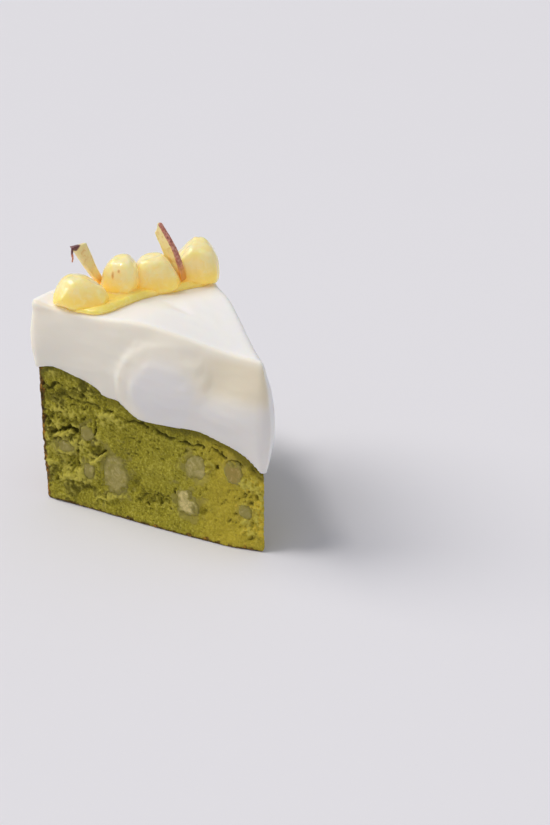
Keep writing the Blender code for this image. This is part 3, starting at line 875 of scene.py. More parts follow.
@dataclass(frozen=True)
class BakedFruit:
    """Fruit baked inside the cheesecake and sliced with it.

    It is soft and wet, clearer than the crumb, stained green and smeared with crumb at its border and
    pale in its middle.

    Args:
        name: Name of the material.
        crumb: Crumb smeared on its border.
        shade: The same crumb, wet.
        stained: Flesh stained by the crumb.
        flesh: Plain flesh.
        pale: Palest flesh.
        syrupy: Flesh full of syrup.
        fibre: Width of the fibres in millimetres.
        crumb_size: Size of the smeared crumbs.
    """

    name: str = "baked_fruit"
    crumb: str = "#a1983a"
    shade: str = "#857c36"
    stained: str = "#968c40"
    flesh: str = "#978c44"
    pale: str = "#dccc8a"
    syrupy: str = "#ad8f40"
    fibre: float = 2.2
    crumb_size: float = 1.1

    def material(self) -> bpy.types.Material:
        """Build the material.

        Returns:
            The material.
        """
        made, tree, place = start_material(self.name)
        fibres = add_node(tree, "ShaderNodeTexNoise", {},
                          {"Vector": place, "Scale": 1 / (self.fibre * MM), "Detail": 4.0,
                           "Distortion": 1.4})
        grain = add_node(tree, "ShaderNodeTexNoise", {},
                         {"Vector": place, "Scale": 1 / (self.crumb_size * MM), "Detail": 5.0,
                          "Roughness": 0.7})
        share = add_node(tree, "ShaderNodeMapRange", {},
                         {"Value": fibres, "From Min": 0.42, "From Max": 0.7, "To Max": 0.75})
        smear = add_node(tree, "ShaderNodeMapRange", {},
                         {"Value": grain, "From Min": 0.4, "From Max": 0.62})
        crumb = add_node(tree, "ShaderNodeMix", COLOURS,
                         {"Factor_Float": smear, "A_Color": linear(self.shade),
                          "B_Color": linear(self.crumb)})
        colour = lay_tones(tree, linear(self.flesh), {"bright": linear(self.pale),
                                                      "syrupy": linear(self.syrupy)})
        colour = add_node(tree, "ShaderNodeMix", COLOURS,
                          {"Factor_Float": share, "A_Color": colour, "B_Color": linear(self.stained)})
        streaks = add_node(tree, "ShaderNodeMapRange", {},
                           {"Value": fibres, "From Min": 0.46, "From Max": 0.3, "To Max": 0.36})
        colour = add_node(tree, "ShaderNodeMix", COLOURS,
                          {"Factor_Float": streaks, "A_Color": colour, "B_Color": linear(self.pale)})
        colour = lay_tones(tree, colour, {"border": crumb})
        bump = add_node(tree, "ShaderNodeBump", {},
                        {"Height": fibres, "Strength": 0.45, "Distance": 0.35 * MM})
        set_shader(tree, {"Base Color": colour, "Normal": bump, "IOR": 1.38, "Roughness": 0.4,
                          "Subsurface Weight": 0.5, "Subsurface Radius": (1.0, 0.85, 0.4),
                          "Subsurface Scale": 1.6 * MM})
        return made


@dataclass(frozen=True)
class MattBoard:
    """Matt painted board of the studio table, with the faint cloudiness of rolled paint.

    Args:
        name: Name of the material.
        paint: Colour of the paint.
        cloud: Size of the clouds in millimetres.
    """

    name: str = "matt_board"
    paint: str = "#e5e5ec"
    cloud: float = 90.0

    def material(self) -> bpy.types.Material:
        """Build the material.

        Returns:
            The material.
        """
        made, tree, place = start_material(self.name)
        cloud = add_node(tree, "ShaderNodeTexNoise", {}, {"Vector": place, "Scale": 1 / (self.cloud * MM)})
        rough = add_node(tree, "ShaderNodeMapRange", {}, {"Value": cloud, "To Min": 0.7, "To Max": 0.9})
        set_shader(tree, {"Base Color": (*linear(self.paint), 1.0), "Roughness": rough,
                          "Specular IOR Level": 0.1})
        return made


@dataclass
class BakedBody:
    """The baked cheesecake: torn crumb on both cut faces, browned rim and foot.

    Sizes are in millimetres, and places on a cut face are (distance from the tip, height).

    Args:
        wedge: Frame of the wedge.
        finish: Its material's description.
        cell: Size of the skin's cells.
        fruit_gap: Gap round the baked-in fruit that the crumb closes.
        hidden_edge: Width of the strip that stays fine where the cream or the plate hides the body.
        crumb_height: Height of the loosest crumb.
        swell_height: Height of the swells between the crumbs.
        line_depth: Depth of the line of torn pores below the cream.
        line_width: Half its width.
        lowest: Height of the lowest points over the base.
        back_mirror: Sum of a place's distances from the tip on both faces, as the back mirrors the front.
        pore_line: Run of that line.
        tears: Cracks of the cut faces.
        lumps: Lumps that stand out.
        hollows: Hollows where crumb was pulled out.
        pore_fields: Fields of single pores.
        rough_patches: Stretches of loose crumb.
    """

    wedge: WedgeFrame
    finish: GreenCheesecake
    cell: float = 0.425
    fruit_gap: float = 0.5
    hidden_edge: float = 2.5
    crumb_height: float = 0.95
    swell_height: float = 0.6
    line_depth: float = 1.1
    line_width: float = 0.62
    lowest: float = 0.02
    back_mirror: float = 96.0
    pore_line: tuple = ((8, 31.0), (11, 32.3), (20, 34.4), (30, 35.4), (38, 35.9), (45, 38.2), (53, 39.0),
                        (64, 40.9), (73, 42.0), (82, 43.9), (87, 46.0))
    tears: tuple = (
        Tear(((85.2, 27.3), (82.0, 29.3), (79.2, 30.0), (74.0, 30.0)), 0.55, 1.5, 0.5),
        Tear(((85.8, 25.0), (83.2, 25.4), (79.5, 26.6)), 0.45, 0.9, 0.3),
        Tear(((66.2, 37.0), (66.6, 34.5), (66.9, 31.0), (68.6, 28.6)), 0.4, 0.9, 0.25),
        Tear(((68.6, 23.6), (66.6, 22.6), (64.6, 22.9), (62.8, 24.4)), 0.45, 1.3, 0.45),
        Tear(((60.4, 30.4), (57.6, 30.2), (54.4, 29.0)), 0.22, 0.4, 0.2),
        Tear(((14.6, 31.6), (12.2, 32.2)), 0.3, 0.6, 0.2),
        Tear(((24.6, 16.6), (23.2, 18.4), (21.4, 20.8)), 0.4, 0.8, 0.3),
        Tear(((74.6, 21.8), (75.4, 19.0), (74.2, 16.2)), 0.5, 1.0, 0.3),
        Tear(((89.0, 43.0), (88.0, 38.0), (87.6, 33.0)), 0.5, 0.6, 0.1))
    lumps: tuple = (
        Patch((75.2, 25.4), (3.2, 1.1), -24, 0.75), Patch((67.0, 20.2), (4.8, 1.0), -38, 0.8),
        Patch((59.6, 38.0), (3.4, 1.7), 4, 0.6), Patch((80.4, 37.4), (3.0, 1.2), -8, 0.4),
        Patch((86.8, 15.8), (2.9, 1.4), 10, 0.7), Patch((77.8, 11.2), (5.0, 1.1), -6, 0.6),
        Patch((79.6, 26.6), (3.6, 1.0), -6, 0.5), Patch((65.6, 28.6), (1.3, 3.6), 18, 0.45),
        Patch((22.2, 26.0), (2.6, 0.8), -20, 0.35), Patch((17.4, 31.2), (0.6, 1.5), 0, 0.3),
        Patch((6.8, 17.2), (0.9, 3.4), 22, 0.4), Patch((20.6, 34.0), (1.6, 0.8), 0, 0.35),
        Patch((61.6, 6.6), (5.4, 1.0), -16, 0.4), Patch((50.2, 24.6), (2.6, 0.8), 0, 0.2))
    hollows: tuple = (
        Patch((18.3, 27.9), (0.8, 1.1), 0, 1.1), Patch((24.4, 9.8), (1.6, 2.0), 30, 0.35),
        Patch((34.7, 15.6), (0.8, 0.9), 0, 0.8), Patch((51.2, 14.2), (1.5, 2.4), -30, 0.4),
        Patch((44.2, 33.0), (0.7, 0.5), 0, 0.5), Patch((39.6, 26.1), (1.3, 0.35), 0, 0.5),
        Patch((33.6, 22.8), (0.45, 0.5), 0, 0.5), Patch((15.0, 16.1), (0.8, 0.5), 20, 0.6),
        Patch((18.3, 7.8), (0.4, 0.5), 0, 0.4), Patch((9.3, 7.8), (0.4, 0.4), 0, 0.4),
        Patch((84.0, 46.0), (2.4, 0.6), -30, 0.7), Patch((13.6, 25.9), (0.6, 0.5), 0, 0.4))
    pore_fields: tuple = (
        PoreField((36.0, 7.6), (49.5, 13.6), 80, (0.25, 0.65), 3),
        PoreField((2.0, 2.0), (88.0, 46.0), 260, (0.16, 0.4), 4),
        PoreField((66.0, 24.0), (88.0, 47.0), 150, (0.2, 0.7), 5),
        PoreField((1.0, 2.0), (14.0, 31.0), 90, (0.2, 0.5), 6),
        PoreField((16.0, 30.0), (60.0, 37.0), 110, (0.2, 0.5), 7),
        PoreField((62.0, 2.0), (88.0, 14.0), 70, (0.2, 0.5), 8))
    rough_patches: tuple = (
        Patch((78.0, 24.0), (15.0, 22.0), 0, 0.85), Patch((5.0, 18.0), (6.5, 18.0), 0, 0.9),
        Patch((74.0, 48.0), (18.0, 6.0), 12, 0.75), Patch((60.0, 38.0), (9.0, 4.5), 0, 0.8),
        Patch((42.0, 10.0), (9.0, 5.0), 0, 0.6), Patch((64.0, 8.0), (14.0, 6.0), 0, 0.5),
        Patch((22.0, 28.0), (6.0, 7.0), 0, 0.5))

    def build(self) -> None:
        """Make the body's skin, work it and put it in place."""
        solids = [self.wedge.nodes["cheesecake"].data]
        for name, node in self.wedge.nodes.items():
            if name.startswith("baked_fruit_"):
                face = Face.FRONT if np.mean([v.co.x for v in node.data.vertices]) < 0 else Face.BACK
                solids.append(Skin.grown(node.data, self.fruit_gap, face.out()))
        skin = Skin.from_solids("cheesecake_body", self.wedge, solids, self.cell, 1)
        depth = np.minimum(-(skin.points @ Face.FRONT.out()), -(skin.points @ Face.BACK.out()))
        radius = np.hypot(skin.points[:, 0], skin.points[:, 1])
        inside = (depth > self.hidden_edge) & (radius < CAKE_RADIUS - self.hidden_edge)
        skin.thin_out(inside * (np.abs(skin.normals[:, 2]) > 0.7), 0.2)
        relief = np.zeros(len(skin.points))
        loose = np.zeros(len(skin.points))
        for face in Face:
            on_face = self.on_face(skin, face)
            worked, torn = self.cut_relief(skin, face)
            relief += on_face * worked
            loose += on_face * torn
        on_rim = smooth((np.hypot(skin.points[:, 0], skin.points[:, 1]) - 86.5) / 1.5)
        relief += on_rim * self.rim_relief(skin.points)
        hidden = smooth((skin.normals[:, 2] - 0.6) / 0.2)
        covered, halo = self.fruit_share(skin)
        relief = relief * (1 - 0.6 * covered) - 0.1 * covered
        skin.push(relief * (1 - hidden) * smooth(skin.points[:, 2] / 0.8))
        skin.points[:, 2] = np.maximum(skin.points[:, 2], self.lowest)
        skin.write()
        self.paint(skin, relief, loose)
        skin.masks["fruit_tone"] = halo
        skin.place(self.finish.material(), "matcha_cheesecake", ["cheesecake"])

    def fruit_share(self, skin: Skin) -> tuple[np.ndarray, np.ndarray]:
        """Share of baked-in fruit at each point of a skin, where the crumb gives way to it.

        Args:
            skin: The skin.

        Returns:
            Share of fruit below each point, and share of crumb that is thin enough to show it.
        """
        share = np.zeros(len(skin.points))
        halo = np.zeros(len(skin.points))
        ragged = Grain(Seed.FRUIT_BORDER).layered(skin.points, 3.6, 3)
        for name, node in self.wedge.nodes.items():
            if name.startswith("baked_fruit_"):
                solid = self.wedge.to_wedge(np.array([v.co[:] for v in node.data.vertices]))
                face = Face.FRONT if solid[:, 0].mean() < 0 else Face.BACK
                along = solid @ face.along()
                low = np.array((along.min(), solid[:, 2].min()))
                high = np.array((along.max(), solid[:, 2].max()))
                place = np.stack([skin.points @ face.along(), skin.points[:, 2]], axis=1)
                reach = np.linalg.norm((place - (low + high) / 2) / ((high - low) / 2), axis=1)
                near = smooth(skin.points @ face.out() + 3.5)
                share = np.maximum(share, near * smooth((1.02 - reach) / 0.25))
                halo = np.maximum(halo, 0.75 * near * smooth((1.5 - reach + 1.0 * ragged) / 0.75))
        return share, halo

    def on_face(self, skin: Skin, face: Face) -> np.ndarray:
        """Share of a cut face at each point of a skin.

        Args:
            skin: The skin.
            face: The cut face.

        Returns:
            1 on the face, 0 elsewhere.
        """
        depth = skin.points @ face.out()
        return smooth((depth + 4.5) / 1.5) * smooth((skin.normals @ face.out() - 0.15) / 0.3)

    def cut_relief(self, skin: Skin, face: Face) -> tuple[np.ndarray, np.ndarray]:
        """Relief that the knife leaves on a cut face.

        Args:
            skin: The skin.
            face: The cut face.

        Returns:
            Height of the surface in millimetres, and share of loose crumb.
        """
        grain = Grain(Seed.FRONT_CUT if face is Face.FRONT else Seed.BACK_CUT)
        # Places are shifted a little by noise, so that no tear or pore has a drawn outline.
        warp = np.stack([grain.layered(skin.points + 40.0 * k, 3.4, 4) for k in range(2)])
        along = skin.points @ face.along() + 1.1 * warp[0]
        height = skin.points[:, 2] + 1.1 * warp[1]
        line = np.array(self.pore_line)
        off_line = height - np.interp(along, line[:, 0], line[:, 1])
        line_share = smooth((along - 7) / 3) * (1 - 0.35 * smooth((along - 58) / 10))
        if face is Face.BACK:
            along = self.back_mirror - along
        loose = np.full(len(along), 0.22)
        for patch in self.rough_patches:
            loose = np.maximum(loose, patch.strength * patch.share(along, height))
        crumbs = 0.5 - np.abs(grain.layered(skin.points + 23, 2.6, 3))
        swells = grain.layered(skin.points, 3.8, 3)
        relief = loose * (self.crumb_height * crumbs + self.swell_height * swells)
        relief += 0.12 * grain.layered(skin.points + 50, 5.0, 2)
        relief += 0.11 * grain.layered(skin.points + 9, 1.3, 2)
        # Tears are deeper in some places than in others, and crumb stands up as a lip below them.
        broken = 0.45 + 0.75 * smooth(grain.at(skin.points + 31, 2.4) + 0.5)
        for tear in self.tears:
            near = run_distance(along, height, tear.run)
            relief -= tear.depth * broken * np.exp(-(near / tear.width) ** 2)
            below = run_distance(along, height + 1.6 * tear.width + 0.3, tear.run)
            relief += tear.lip * np.exp(-(below / (1.3 * tear.width)) ** 2)
        for lump in self.lumps:
            relief += lump.strength * lump.share(along, height)
        for hollow in self.hollows:
            relief -= hollow.strength * hollow.share(along, height)
        # The line of torn pores below the cream comes and goes, and the band over it lies lower.
        broken = smooth(grain.at(skin.points + 70, 3.2) * 1.6 + 0.88) * line_share
        relief -= self.line_depth * broken * np.exp(-(off_line / self.line_width) ** 2)
        relief -= 0.15 * smooth((off_line + 0.4) / 1.2)
        for pores in self.pore_fields:
            relief -= pores.depth(along, height)
        return relief, loose

    def rim_relief(self, points: np.ndarray) -> np.ndarray:
        """Relief of the baked rim: fine wrinkles that run up it, as the lining paper leaves them.

        Args:
            points: Points of the skin.

        Returns:
            Height of the surface in millimetres.
        """
        grain = Grain(Seed.RIM)
        turn = np.degrees(np.arctan2(points[:, 0], points[:, 1])) * math.radians(CAKE_RADIUS)
        sheet = np.stack([turn * math.tau / 4, points[:, 2] / 4, np.zeros(len(points))], axis=1)
        return 0.28 * grain.layered(sheet, 4.2, 3) + 0.12 * grain.layered(points, 1.1, 2) - 0.2

    def paint(self, skin: Skin, relief: np.ndarray, loose: np.ndarray) -> None:
        """Work out the masks that colour the body.

        Args:
            skin: The skin.
            relief: Relief of its surface.
            loose: Share of loose crumb.
        """
        points = skin.points
        grain = Grain(Seed.TONES)
        radius = np.hypot(points[:, 0], points[:, 1])
        blotch = grain.layered(points, 3.0, 3)
        tree = BVHTree.FromPolygons([v.co for v in self.wedge.nodes["cream_cap"].data.vertices],
                                    [p.vertices[:] for p in self.wedge.nodes["cream_cap"].data.polygons])
        below = np.array([tree.find_nearest(Vector(p))[3] / MM for p in self.wedge.to_frame(points)])
        # Browning: the corner where the cut meets the rim, stains on the rim, the foot, and a thin
        # line under the cream that grows towards the tip.
        towards_tip = smooth((50 - radius) / 20)
        rim = smooth((radius - 88.6 + 1.1 * blotch) / 0.6)
        corner = smooth((radius - 87.6 + 1.1 * blotch) / 0.9) * (1 - smooth((radius - 89.0) / 0.5))
        stains = smooth((grain.layered(points + 90, 9.0, 3) - 0.25) / 0.4) * rim
        rim_top = rim * smooth((4.0 - below + 3.0 * blotch) / 4.0)
        foot = smooth((1.2 - points[:, 2] + 1.6 * blotch) / 0.7)
        under_cream = smooth((0.9 - below + 0.5 * blotch) / 0.4)
        baked = np.maximum(np.maximum(corner, 0.9 * foot), 0.35 * stains)
        baked = np.maximum(baked, (0.3 + 0.45 * towards_tip) * under_cream)
        skin.masks["rim"] = rim
        skin.masks["baked"] = np.maximum(baked, 0.6 * rim_top)
        # Tones of the crumb: the denser band below the cream, the yellow tip, painted shade where the
        # relief lies low with darker clouds near the rim, and painted highlight where loose crumb stands
        # high.
        skin.masks["band_tone"] = (0.32 + 0.4 * towards_tip) * smooth((4.6 - below + 1.6 * blotch) / 2.4)
        tip_spots = 0.85 * smooth((4.0 - radius + 13.0 * blotch) / 4.0)
        skin.masks["tip_tone"] = np.maximum(tip_spots, 0.38 * smooth((34 - radius) / 20))
        clouds = smooth(grain.layered(points + 60, 6.5, 3) / 0.45) * smooth((radius - 56) / 14)
        # Painted shade in low relief, with darker clouds near the rim.
        skin.masks["painted_shade_and_clouds"] = np.maximum(0.9 * smooth(-(relief + 0.12) / 0.7), 0.62 * clouds)
        # Painted highlight on raised loose crumb.
        skin.masks["painted_highlight"] = 0.85 * smooth((relief - 0.08) / 0.4) * smooth(loose / 0.5)
        skin.masks["loose"] = np.clip(loose, 0, 1)


@dataclass
class CreamCap:
    """The cap of whipped cream, with the thick smear that the spatula left on the front.

    Args:
        wedge: Frame of the wedge.
        finish: Its material's description.
        cell: Size of the skin's cells.
        smear_middle: Middle of the smear as (distance from the tip, height).
        smear_radius: Radius of its outer lip.
        inner_radius: Radius of its inner lip.
        outer_lip: Height of the outer lip.
        inner_lip: Height of the inner lip.
        stroke_height: Height of the swells of the spatula's strokes.
        foot_height: Unevenness of the foot.
        rim_inset: How far the rim is drawn in, so that swells stay inside the solid.
        under_gap: How far the underside grows down onto the body.
        crisp_edge: How far the smoothed top edge over the rim is pushed out again.
    """

    wedge: WedgeFrame
    finish: WhippedCream
    cell: float = 0.6
    smear_middle: tuple[float, float] = (36.5, 51.5)
    smear_radius: float = 19.0
    inner_radius: float = 12.8
    outer_lip: float = 0.2
    inner_lip: float = 0.12
    stroke_height: float = 0.12
    foot_height: float = 0.3
    rim_inset: float = 0.15
    under_gap: float = 0.45
    crisp_edge: float = 0.7

    def build(self) -> None:
        """Make the cap's skin, work it and put it in place."""
        solid = self.wedge.nodes["cream_cap"].data
        skin = Skin.from_solids("cream_cap_skin", self.wedge, [solid], self.cell, 10)
        grain = Grain(Seed.CREAM)
        points = skin.points
        along = points @ Face.FRONT.along()
        on_front = smooth((skin.normals @ Face.FRONT.out() - 0.2) / 0.4)
        reach = np.hypot(along - self.smear_middle[0], points[:, 2] - self.smear_middle[1])
        bearing = np.degrees(np.arctan2(points[:, 2] - self.smear_middle[1], along - self.smear_middle[0]))
        spread = 5.0 * smooth((bearing - 70) / 90)
        lip = self.outer_lip * np.exp(-((reach - self.smear_radius - spread + 0.9) / 1.3) ** 2)
        lip += self.inner_lip * np.exp(-((reach - self.inner_radius + 0.7) / 1.5) ** 2)
        upper = smooth((bearing + 30) / 40) * smooth((165 - bearing) / 80)
        strokes = np.stack([along / 3, points @ Face.FRONT.out() / 3, points[:, 2]], axis=1)
        swell = self.stroke_height * grain.layered(strokes, 4.5, 2) + 0.05 * grain.layered(points, 5.0, 2)
        under = smooth((-skin.normals[:, 2] - 0.55) / 0.3)
        foot = smooth((2.2 - self.above_cake(points)) / 2.2) * (1 - under)
        ragged = self.foot_height * foot * grain.layered(points + 30, 4.0, 2)
        level = smooth((skin.normals[:, 2] - 0.5) / 0.4)
        radius = np.hypot(points[:, 0], points[:, 1])
        at_rim = smooth((radius - 88) / 2)
        swell = swell * (1 - under) * (1 - 0.7 * level) - self.rim_inset * at_rim
        crisp = smooth((radius - 78) / 8) * smooth((points[:, 2] - 73) / 2.5)
        skin.push(on_front * upper * lip + swell + ragged + self.under_gap * under
                  + self.crisp_edge * crisp * (1 - level))
        # Painted warm bounce light on the front, with painted shade in a fold near the tip.
        skin.masks["painted_warm_bounce_and_shade"] = self.warm_bounce_share(skin, along, on_front)
        # Painted shade: a cooler, slightly darker white on the smear and the lower front.
        in_smear = smooth((self.inner_radius + 4 - reach) / 8)
        below = smooth((58 - points[:, 2]) / 8) * smooth((50 - along) / 8)
        skin.masks["painted_cool_shade"] = 0.7 * on_front * np.maximum(in_smear, 0.8 * below)
        skin.place(self.finish.material(), "whipped_cream", ["cream_cap"])

    def above_cake(self, points: np.ndarray) -> np.ndarray:
        """Distance of points from the baked body.

        Args:
            points: Points of the skin.

        Returns:
            The distances in millimetres.
        """
        mesh = self.wedge.nodes["cheesecake"].data
        tree = BVHTree.FromPolygons([v.co for v in mesh.vertices], [p.vertices[:] for p in mesh.polygons])
        return np.array([tree.find_nearest(Vector(p))[3] / MM for p in self.wedge.to_frame(points)])

    def warm_bounce_share(self, skin: Skin, along: np.ndarray, on_front: np.ndarray) -> np.ndarray:
        """Share of the warm painted bounce light on the front, most near the tip below the top edge, where
        a fold gets more of it as painted shade.

        Args:
            skin: The skin.
            along: Distance of its points from the tip.
            on_front: Share of the front at its points.

        Returns:
            The shares.
        """
        near_tip = smooth((30 - along) / 16) * smooth((skin.points[:, 2] - 54) / 6)
        # A fold below the top edge near the tip gets more of the warm tint, as painted shade.
        fold_shade = near_tip * smooth((71 - skin.points[:, 2]) / 4)
        return on_front * (0.5 + 0.4 * fold_shade)


@dataclass(frozen=True)
class Chunk:
    """One piece of fruit in the compote.

    Args:
        number: Number of its solid.
        cuts: Its knife cuts, each by compass angle, upward slope and share of the reach kept.
        eyes: Dark eyes in its flesh, each by compass angle, upward slope and half angles across and up.
    """

    number: int
    cuts: tuple
    eyes: tuple = ()


@dataclass
class Compote:
    """The row of cooked fruit in its syrup.

    Args:
        wedge: Frame of the wedge.
        finish: Its material's description.
        cell: Size of the fruit skins' cells.
        syrup_cell: Size of the syrup skin's cells.
        collar: How far the syrup climbs the fruit.
        fruit_growth: How far the fruit is grown before the knife cuts it.
        swell_height: Height of the soft swells of the fruit and of its fine wrinkles.
        soak_height: Height over the syrup up to which the fruit is soaked.
        chunks: The pieces of fruit.
    """

    wedge: WedgeFrame
    finish: CookedFruit
    cell: float = 0.4
    syrup_cell: float = 0.36
    collar: float = 3.4
    fruit_growth: float = 0.45
    swell_height: tuple[float, float] = (0.3, 0.09)
    soak_height: float = 6.5
    chunks: tuple = (Chunk(1, ((200, -36, 0.76), (172, 38, 0.8), (-15, 52, 0.82), (232, 12, 0.86),
                               (265, 50, 0.84))),
                     Chunk(2, ((-35, 30, 0.9), (226, 14, 0.88), (230, 60, 0.9)),
                           ((206, 17, 5, 15), (229, 32, 5, 6))),
                     Chunk(3, ((150, 78, 0.8), (150, 12, 0.92), (238, 14, 0.84), (-30, 30, 0.88))),
                     Chunk(4, ((150, 46, 0.72), (225, 6, 0.86), (275, 64, 0.86), (-35, 34, 0.88))))

    def build(self) -> None:
        """Make the fruit and the syrup and put them in place."""
        material = self.finish.material()
        top = self.wedge.to_wedge(np.array([v.co for v in self.wedge.nodes["compote_syrup"].data.vertices]))
        level = np.percentile(top[:, 2], 90)
        for chunk in self.chunks:
            self.build_chunk(chunk, material, level)
        self.build_syrup(material, level)

    def build_chunk(self, chunk: Chunk, material: bpy.types.Material, level: float) -> None:
        """Make one piece of fruit.

        Args:
            chunk: The piece.
            material: Its material.
            level: Height of the syrup's surface.
        """
        node = f"fruit_chunk_{chunk.number}"
        skin = Skin.from_solids(f"compote_fruit_{chunk.number}", self.wedge, [self.wedge.nodes[node].data],
                                self.cell, 5)
        grain = Grain(Seed.COMPOTE_FRUIT + chunk.number)
        skin.push(np.full(len(skin.points), self.fruit_growth))
        for compass, slope, keep in chunk.cuts:
            skin.flatten(compass, slope, keep)
        swell, wrinkle = self.swell_height
        skin.push(swell * grain.layered(skin.points, 5.0, 2) + wrinkle * grain.layered(skin.points, 1.7, 2))
        over_soak = level + self.soak_height - skin.points[:, 2]
        skin.masks["soaked"] = 0.85 * smooth(over_soak / self.soak_height)
        low = skin.points[:, 2].min()
        rise = (skin.points[:, 2] - low) / (skin.points[:, 2].max() - low)
        cloudy = smooth(0.5 + grain.layered(skin.points + 7, 4.0, 3))
        skin.masks["milky"] = 0.5 * cloudy * smooth((rise - 0.35) / 0.5)
        skin.masks["spot"] = self.eye_share(skin, chunk)
        skin.place(material, "compote_fruit", [node])

    def eye_share(self, skin: Skin, chunk: Chunk) -> np.ndarray:
        """Share of dark eye at each point of a piece of fruit.

        Args:
            skin: Skin of the piece.
            chunk: The piece.

        Returns:
            1 in an eye, 0 elsewhere.
        """
        way = skin.points - (skin.points.max(axis=0) + skin.points.min(axis=0)) / 2
        compass = np.degrees(np.arctan2(way[:, 1], way[:, 0])) % 360
        slope = np.degrees(np.arctan2(way[:, 2], np.hypot(way[:, 0], way[:, 1])))
        share = np.zeros(len(skin.points))
        for eye_compass, eye_slope, across, up in chunk.eyes:
            reach = np.hypot((compass - eye_compass) / across, (slope - eye_slope) / up)
            share = np.maximum(share, 0.8 * smooth(1.3 - reach))
        return share

    def build_syrup(self, material: bpy.types.Material, level: float) -> None:
        """Make the syrup, which climbs a little way up each piece of fruit.

        Args:
            material: Its material.
            level: Height of the syrup's surface.
        """
        solids = [self.wedge.nodes["compote_syrup"].data]
        for chunk in self.chunks:
            solids.append(self.collar_of(self.wedge.nodes[f"fruit_chunk_{chunk.number}"].data, level))
        skin = Skin.from_solids("syrup_pool", self.wedge, solids, self.syrup_cell, 18)
        for collar in solids[1:]:
            bpy.data.meshes.remove(collar)
        grain = Grain(Seed.SYRUP)
        under = smooth((-skin.normals[:, 2] - 0.4) / 0.4)
        skin.push(0.15 * grain.layered(skin.points, 5.0, 3) * (1 - under) + 0.4 * under + 0.1)
        skin.masks["soaked"] = np.full(len(skin.points), 0.8)
        for mask in ("milky", "spot"):
            skin.masks[mask] = np.zeros(len(skin.points))
        skin.place(material, "compote_syrup", ["compote_syrup"])

    def collar_of(self, mesh: bpy.types.Mesh, level: float) -> bpy.types.Mesh:
        """The foot of a piece of fruit, grown by the gap and cut off where the syrup ends.

        Args:
            mesh: Mesh of the fruit's solid.
            level: Height of the syrup's surface.

        Returns:
            A new mesh.
        """
        collar = mesh.copy()
        points = self.wedge.to_wedge(np.array([v.co[:] for v in collar.vertices]))
        climbed = np.clip((points[:, 2] - level) / self.collar, -1.0, 1.0)
        points += np.array([v.normal[:] for v in collar.vertices]) * (0.5 - 1.7 * climbed)[:, None]
        points[:, 2] = np.minimum(points[:, 2], level + self.collar)
        collar.vertices.foreach_set("co", self.wedge.to_frame(points).ravel())
        return collar


@dataclass(frozen=True)
class PeelEdge:
    """Where the peel runs on a slice.

    Args:
        number: Number of the slice's solid.
        foot: Lower end of the peel in the plan.
        run: Way from there to its upper end.
        side: Compass angle in degrees to which the peel looks.
        bow: How far it bows out.
        start: Share of the run where the peel begins.
        cap: Share of the run above which the whole edge is peel.
    """

    number: int
    foot: tuple[float, float]
    run: tuple[float, float, float]
    side: float
    bow: float
    start: float
    cap: float


